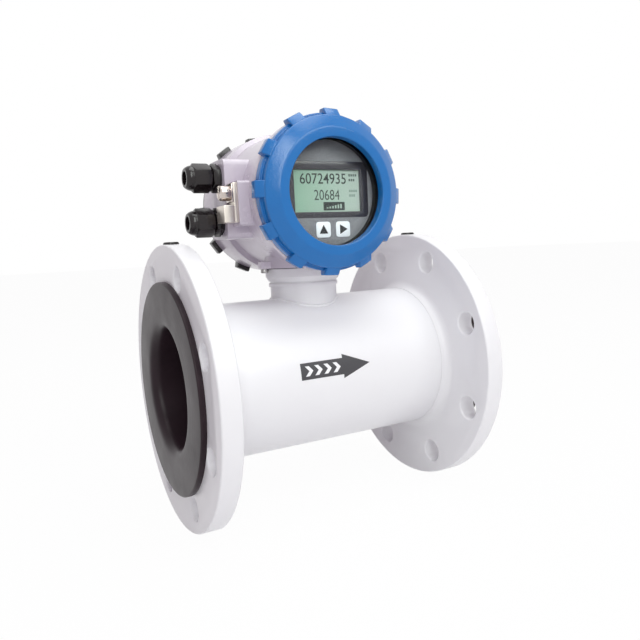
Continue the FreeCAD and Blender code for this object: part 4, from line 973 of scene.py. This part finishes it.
    def neck_weld(self) -> None:
        """The painted weld between the neck and the casing, along their saddle line."""
        mesh = bmesh.new()
        rings = []
        for step in range(self.weld_steps):
            angle = math.tau * step / self.weld_steps
            out = Vector((math.cos(angle), math.sin(angle), 0))
            x, y = out.x * self.weld_ring, out.y * self.weld_ring
            root = Vector((x, y, math.sqrt(self.casing_radius() ** 2 - y ** 2)))
            reach = self.weld_radius * (1 + self.ripple_share * math.sin(angle * self.ripples))
            ring = []
            for part in range(self.weld_facets + 1):
                swing = math.pi * part / self.weld_facets
                spot = root + out * (reach * math.sin(swing))
                spot.z += reach * math.cos(swing)
                ring.append(mesh.verts.new(spot))
            rings.append(ring)
        for here, there in zip(rings, rings[1:] + rings[:1]):
            for part in range(len(here)):
                after = (part + 1) % len(here)
                mesh.faces.new((here[part], here[after], there[after], there[part]))
        bmesh.ops.recalc_face_normals(mesh, faces=mesh.faces)
        dress(object_of("neck_weld", mesh), Dress.WHITE_PAINT, "meter", angle=60)


# ------------------------------------------------------------------ screw cover

@dataclass
class ScrewCover:
    """A screw cover: a softened cup with grip lugs round its rim."""

    node: str
    facing: Facing
    finish: Dress
    rim_place: float
    turn: float
    window: float = 0.0
    depth: float = 0.0193
    face: float = 0.049
    cone: float = 0.0592
    cone_end: float = 0.0133
    rim: float = 0.0615
    rim_front: float = 0.0073
    bore: float = 0.055
    bore_depth: float = 0.0083
    collar: float = 0.0518
    collar_end: float = 0.0028
    pocket: float = 0.0503
    seat: float = 0.0123
    wall: float = 0.0045
    gap: float = 0.0003
    lug_tip: float = 0.0649
    lug_width: float = 0.0128
    lug_start: float = 0.0008
    lug_front: float = 0.0082
    lug_count: int = 12
    lug_edge: float = 0.0009
    lug_sink: float = 0.0004

    def build(self) -> None:
        """Makes the cup and its lugs as one piece."""
        cup = lathe(self.node + "_cup", self.section(), self.place(), 192)
        piece = join(self.node + "_shell", (cup, self.lugs()))
        dress(piece, self.finish, self.node, (self.node,), 38)

    def place(self) -> Matrix:
        """The cover's matrix: local Z runs out of the housing from its rim."""
        return self.facing.at((0, self.rim_place, middle_of("front_glass").z))

    def section(self) -> list[tuple[float, ...]]:
        """Half of the cup's section, from the window round the outside and back."""
        outer = [
            (self.face, self.depth, 0.004), (self.cone, self.cone_end, 0.002),
            (self.cone, self.rim_front, 0.0006), (self.rim, self.rim_front, 0.0009),
            (self.rim, self.gap, 0.0005), (self.bore, self.gap),
            (self.bore, self.bore_depth), (self.collar, self.bore_depth),
        ]
        if not self.window:
            return [(0, self.depth)] + outer + [
                (self.collar, self.depth - self.wall), (0, self.depth - self.wall)]
        return [(self.window, self.depth, 0.0012)] + outer + [
            (self.collar, self.collar_end), (self.pocket, self.collar_end),
            (self.pocket, self.seat), (self.window, self.seat)]

    def lugs(self) -> bpy.types.Object:
        """The ring of grip lugs."""
        root, top = self.bore + self.lug_sink, self.cone_end - self.lug_sink
        line = [(root, self.lug_start), (self.lug_tip, self.lug_start),
                (self.lug_tip, self.lug_front), (self.cone - self.lug_sink, top), (root, top)]
        across = Matrix(((1, 0, 0, 0), (0, 0, -1, 0), (0, 1, 0, 0), (0, 0, 0, 1)))
        lug = plate(self.node + "_lug", line, -self.lug_width / 2, self.lug_width / 2, across)
        soften(lug, self.lug_edge, 3, 20)
        add_tree(lug, TREES["around"], {
            "Count": self.lug_count, "Start Angle": math.radians(self.turn),
            "Finish": self.finish.value.material()})
        lug.data.transform(self.place())
        return lug


# --------------------------------------------------------------------- display

@dataclass
class NumberRow:
    """A row of plain condensed digits on the screen."""

    name: str
    reading: str
    left: float
    right: float
    low: float
    high: float
    weight: float
    depth: float = 0.00008

    def build(self, place: Matrix) -> None:
        """Makes the row.

        Args:
            place: the screen's matrix, local Z out of the glass.
        """
        curve = bpy.data.curves.new(self.name + "_letters", "FONT")
        curve.body = self.reading
        curve.resolution_u = 4
        curve.offset = self.weight
        curve.extrude = 0.01
        letters = placed(self.name + "_letters", curve)
        ready = letters.evaluated_get(bpy.context.evaluated_depsgraph_get())
        flat = bpy.data.meshes.new_from_object(ready)
        bpy.data.objects.remove(letters)
        mesh = bmesh.new()
        mesh.from_mesh(flat)
        bpy.data.meshes.remove(flat)
        dress(object_of(self.name, mesh, place @ self.fit(mesh)), Dress.INK, "meter")

    def fit(self, mesh: bmesh.types.BMesh) -> Matrix:
        """The matrix that brings the row to its width, height and depth.

        Args:
            mesh: the row's digits as the letters give them.

        Returns:
            The stretch and move as one matrix.
        """
        spots = [vertex.co for vertex in mesh.verts]
        low = Vector([min(spot[axis] for spot in spots) for axis in range(3)])
        high = Vector([max(spot[axis] for spot in spots) for axis in range(3)])
        goal = Vector((self.right - self.left, self.high - self.low, self.depth))
        stretch = Matrix.Diagonal([goal[axis] / (high - low)[axis] for axis in range(3)] + [1])
        start = Vector((self.left, self.low, 0))
        return Matrix.Translation(start) @ stretch @ Matrix.Translation(-low)


@dataclass
class DisplayFace:
    """Window, fascia, screen and keys."""

    lift: float = 0.00004
    ink_depth: float = 0.00005
    unit_left: float = 0.0209
    unit_pitch: float = 0.0020
    unit_width: float = 0.0014
    unit_height: float = 0.0019
    bars: int = 6
    bar_pitch: float = 0.0025
    bar_step: float = 0.0005
    key_corner: float = 0.0028
    key_edge: float = 0.0004
    mark_half: float = 0.0039
    mark_low: float = 0.0031
    mark_high: float = 0.0040
    mark_corner: float = 0.0002

    def build(self) -> None:
        """Makes and dresses the display."""
        skin("front_glass", Dress.WINDOW)
        skin("glass_gasket", Dress.SEAL)
        skin("glass_retaining_ring", Dress.SEAL)
        skin("display_fascia", Dress.FASCIA, 0.0003)
        skin("lcd_bezel", Dress.BEZEL, 0.0003)
        skin("lcd_module", Dress.SCREEN)
        self.key("key_up", 0.0)
        self.key("key_right", -math.pi / 2)
        self.marks()
        for node, finish in self.inner().items():
            coat_node(node, finish)

    def inner(self) -> dict[str, Dress]:
        """The pieces behind the fascia and their finishes."""
        return {
            "key_switches": Dress.GLAND, "display_board": Dress.BOARD,
            "fascia_screws": Dress.STEEL, "pillar_screws": Dress.STEEL,
            "board_pillars": Dress.BRASS, "main_board": Dress.BOARD,
            "feedthrough_bush": Dress.SEAL, "front_cover_seal": Dress.SEAL,
            "rear_cover_seal": Dress.SEAL,
        }

    def screen(self) -> Matrix:
        """The screen's matrix: local X to the right, Y up, Z out of the glass."""
        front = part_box("lcd_module")[0].y
        return Facing.FRONT.at((0, front - self.lift, 0))

    def marks(self) -> None:
        """Two rows of digits, short unit marks and a bar graph."""
        place = self.screen()
        NumberRow("screen_total", "60724935", left=-0.0240, right=0.0175, low=0.1560,
                  high=0.1643, weight=0.004).build(place)
        NumberRow("screen_rate", "20684", left=-0.0120, right=0.0110, low=0.1434,
                  high=0.1514, weight=-0.004).build(place)
        rows = ((0.1629, Dress.UNIT_INK), (0.1591, Dress.UNIT_INK), (0.1505, Dress.FAINT_INK),
                (0.1468, Dress.FAINT_INK))
        for index, (up, ink) in enumerate(rows):
            self.unit_mark(index, up, 3 if index % 2 else 4, ink, place)
        bar = plate("screen_status_bar", rectangle(0.0195, 0.0066, 0.0005, (0.0057, 0.1385)),
                    0, self.ink_depth, place)
        dress(bar, Dress.INK, "meter")
        for index in range(self.bars):
            rise = self.bar_step * index
            tick = rectangle(0.0014, 0.0010 + rise, 0.0,
                             (-0.0005 + self.bar_pitch * index, 0.1372 + rise / 2))
            piece = plate("screen_bar_%d" % index, tick, self.lift, self.ink_depth * 2, place)
            dress(piece, Dress.SCREEN, "meter")

    def unit_mark(self, index: int, up: float, blocks: int, ink: Dress,
                  place: Matrix) -> None:
        """One row of small plain blocks where a unit stands.

        Args:
            index: the row's number.
            up: its height on the object.
            blocks: how many blocks it has.
            ink: what it is finished in.
            place: the screen's matrix.
        """
        parts = []
        for block in range(blocks):
            line = rectangle(self.unit_width, self.unit_height, 0.0002,
                             (self.unit_left + self.unit_pitch * block, up))
            parts.append(plate("block", line, 0, self.ink_depth, place))
        dress(join("screen_unit_%d" % index, parts), ink, "meter")

    def key(self, node: str, turn: float) -> None:
        """A key cap with rounded corners and a dark triangle on it.

        The cap takes the key's whole box, which includes the lip behind the fascia.

        Args:
            node: the key's node, which it is shown in place of.
            turn: where the triangle points, from straight up.
        """
        low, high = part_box(node)
        middle = middle_of(node)
        place = Facing.FRONT.at((middle.x, low.y, middle.z))
        line = rectangle(high.x - low.x, high.z - low.z, self.key_corner)
        cap = plate(node + "_cap", line, low.y - high.y, 0, place, self.key_edge)
        dress(cap, Dress.KEY, node, (node,))
        tips = ((-self.mark_half, -self.mark_low), (self.mark_half, -self.mark_low),
                (0.0, self.mark_high))
        mark = [(*tip, self.mark_corner) for tip in tips]
        spot = place @ Matrix.Rotation(turn, 4, "Z")
        dress(plate(node + "_mark", mark, -0.0001, 0.00012, spot), Dress.KEY_MARK, node)


# ------------------------------------------------------------------- converter

@dataclass
class ConverterHead:
    """Housing, rear chamber pieces, glands and the earth terminal."""

    thread_start: float = 0.0102
    thread_radius: float = 0.0074
    thread_length: float = 0.0095
    thread_pitch: float = 0.0015
    thread_ridge: float = 0.00035
    block_sink: float = 0.0005
    block_reach: float = 0.005
    block_depth: float = 0.0175
    block_height: float = 0.0134

    def build(self) -> None:
        """Makes and dresses the head."""
        skin("converter_housing", Dress.HEAD_PAINT, 0.0009, 30, 3)
        self.clamp()
        skin("earth_washer", Dress.PLATED, 0.0002)
        skin("earth_screw", Dress.PLATED, 0.0004)
        for side in ("upper", "lower"):
            self.gland(side)
        for node, finish in {"terminal_block": Dress.TERMINAL, "terminal_screws": Dress.PLATED,
                             "terminal_fixing_screws": Dress.PLATED}.items():
            coat_node(node, finish)

    def clamp(self) -> None:
        """The earth clamp: an upright under the screw and a thick block below it."""
        low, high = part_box("earth_clamp")
        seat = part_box("earth_washer")[1].x
        place = Facing.LEFT.at((0, 0, 0))
        upright = rectangle(high.y - low.y, high.z - low.z, 0.0005,
                            (-(low.y + high.y) / 2, (low.z + high.z) / 2))
        block = rectangle(self.block_depth, self.block_height, 0.0005,
                          (-low.y - self.block_depth / 2, low.z + self.block_height / 2))
        parts = (plate("upright", upright, -high.x, -seat, place, 0.0003),
                 plate("block", block, -seat - self.block_sink, self.block_reach - low.x,
                       place, 0.0004))
        dress(join("earth_clamp_body", parts), Dress.CLAMP, "meter", ("earth_clamp",))

    def gland(self, side: str) -> None:
        """One cable gland, with the thread under its nut."""
        skin(side + "_gland_washer", Dress.SEAL, 0.0002)
        skin(side + "_gland_body", Dress.GLAND, 0.0003)
        skin(side + "_gland_seal", Dress.SEAL, 0.0003)
        skin(side + "_gland_nut", Dress.GLAND, 0.0005, steps=3)
        middle = middle_of(side + "_gland_body")
        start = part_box(side + "_gland_body")[0].x + self.thread_start
        place = Facing.LEFT.at((start, middle.y, middle.z))
        thread(side + "_gland_thread", place, self.thread_radius, self.thread_length,
               self.thread_pitch, self.thread_ridge, Dress.GLAND, "meter")


# ---------------------------------------------------------------------- studio

@dataclass
class Studio:
    """Floor, background, lamps and camera."""

    azimuth: float = -28.190
    elevation: float = 6.434
    roll: float = -2.934
    station: tuple[float, float, float] = (-0.24988, -0.49394, 0.10497)
    lens: float = 35.365
    sensor: float = 36.0
    floor_span: float = 30.0
    floor_white: float = 0.97
    ambient: float = 0.25

    def build(self) -> None:
        """Sets the whole scene round the meter."""
        self.floor()
        self.world()
        self.lamps()
        self.camera()
        bpy.context.scene.view_settings.view_transform = "Standard"

    def floor(self) -> None:
        """A wide pale floor that keeps the meter's shadow."""
        half = self.floor_span / 2
        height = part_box("inlet_flange")[0].z
        mesh = bmesh.new()
        corners = ((-half, -half), (half, -half), (half, half), (-half, half))
        mesh.faces.new([mesh.verts.new((x, y, height)) for x, y in corners])
        floor = object_of("studio_floor", mesh)
        material, tree, output = new_material("pale_floor")
        matte = tree.add("ShaderNodeBsdfDiffuse", Color=(0.9, 0.9, 0.91, 1))
        white = tree.add("ShaderNodeEmission", Color=(1, 1, 1, 1), Strength=1.0)
        share = tree.calculate("MULTIPLY", self.seen(tree), self.floor_white)
        tree.join(tree.blend(share, matte, white), output.inputs["Surface"])
        floor.data.materials.append(material)

    @staticmethod
    def seen(tree: NodeTree) -> bpy.types.NodeSocket:
        """A mask of the rays that look at the background: camera, glossy and through glass.

        A ray that comes from a matt surface isn't one of them, so nothing is lit by the white.
        """
        path = tree.add("ShaderNodeLightPath").outputs
        looked = path["Is Camera Ray"]
        for kind in ("Is Glossy Ray", "Is Transmission Ray"):
            looked = tree.calculate("MAXIMUM", looked, path[kind])
        direct = tree.calculate("LESS_THAN", path["Diffuse Depth"], 0.5)
        return tree.calculate("MULTIPLY", looked, direct)

    def world(self) -> None:
        """White where it is looked at, and a softer level where it lights the meter."""
        world = bpy.data.worlds.new("studio")
        bpy.context.scene.world = world
        world.use_nodes = True
        tree = NodeTree(world.node_tree)
        output = tree.add("ShaderNodeOutputWorld")
        dim = tree.add("ShaderNodeBackground", Color=(1.0, 0.80, 0.96, 1),
                       Strength=self.ambient)
        white = tree.add("ShaderNodeBackground", Color=(1, 1, 1, 1), Strength=1.0)
        tree.join(tree.blend(self.seen(tree), dim, white), output.inputs["Surface"])

    def lamps(self) -> None:
        """Soft boxes: a tall key in front on the left, a weaker one on the right, one above."""
        self.lamp("key", (-0.58, -1.36, 1.0), (0.0, 0.0, 0.05), (0.42, 1.4), 11.0,
                  (0.95, 1.0, 0.96))
        self.lamp("fill", (0.5, -1.45, 1.15), (0.0, 0.0, 0.05), (1.1, 1.1), 10.5,
                  (0.95, 1.0, 0.96))
        self.lamp("top", (0.1, -0.1, 1.7), (0.0, 0.0, 0.0), (1.2, 1.2), 14.0,
                  (0.97, 1.0, 0.98))

    def lamp(self, name: str, place: Sequence[float], aim: Sequence[float], size: Point,
             power: float, colour: Colour) -> None:
        """A soft box.

        Args:
            name: its name.
            place: where it hangs.
            aim: the point that it faces.
            size: its width and height.
            power: its power in watts.
            colour: its tint.
        """
        data = bpy.data.lights.new(name, "AREA")
        data.shape = "RECTANGLE"
        data.size, data.size_y = size
        data.energy = power
        data.color = colour
        made = placed(name, data)
        made.location = place
        look = Vector(aim) - Vector(place)
        made.rotation_euler = look.to_track_quat("-Z", "Y").to_euler()

    def camera(self) -> None:
        """The camera, turned by its azimuth, elevation and roll."""
        azimuth, elevation, roll = (math.radians(angle) for angle in
                                    (self.azimuth, self.elevation, self.roll))
        back = Vector((math.sin(azimuth) * math.cos(elevation),
                       -math.cos(azimuth) * math.cos(elevation), math.sin(elevation)))
        right = Vector((math.cos(azimuth), math.sin(azimuth), 0))
        above = back.cross(right)
        side = right * math.cos(roll) + above * math.sin(roll)
        high = above * math.cos(roll) - right * math.sin(roll)
        data = bpy.data.cameras.new("camera")
        data.lens = self.lens
        data.sensor_width = self.sensor
        made = placed("camera", data)
        turn = Matrix((side, high, back)).transposed().to_4x4()
        made.matrix_world = Matrix.Translation(Vector(self.station)) @ turn
        bpy.context.scene.camera = made


def main() -> None:
    """Builds every sub-assembly and the studio."""
    PipeSection().build()
    ConverterHead().build()
    ScrewCover("front_cover", Facing.FRONT, Dress.BLUE_PAINT, -0.0492, -2.7,
               window=0.0414).build()
    ScrewCover("rear_cover", Facing.REAR, Dress.BLACK_PAINT, 0.073, -6.0, cone=0.0578,
               rim=0.0586).build()
    DisplayFace().build()
    Studio().build()


if __name__ == "__main__":
    main()
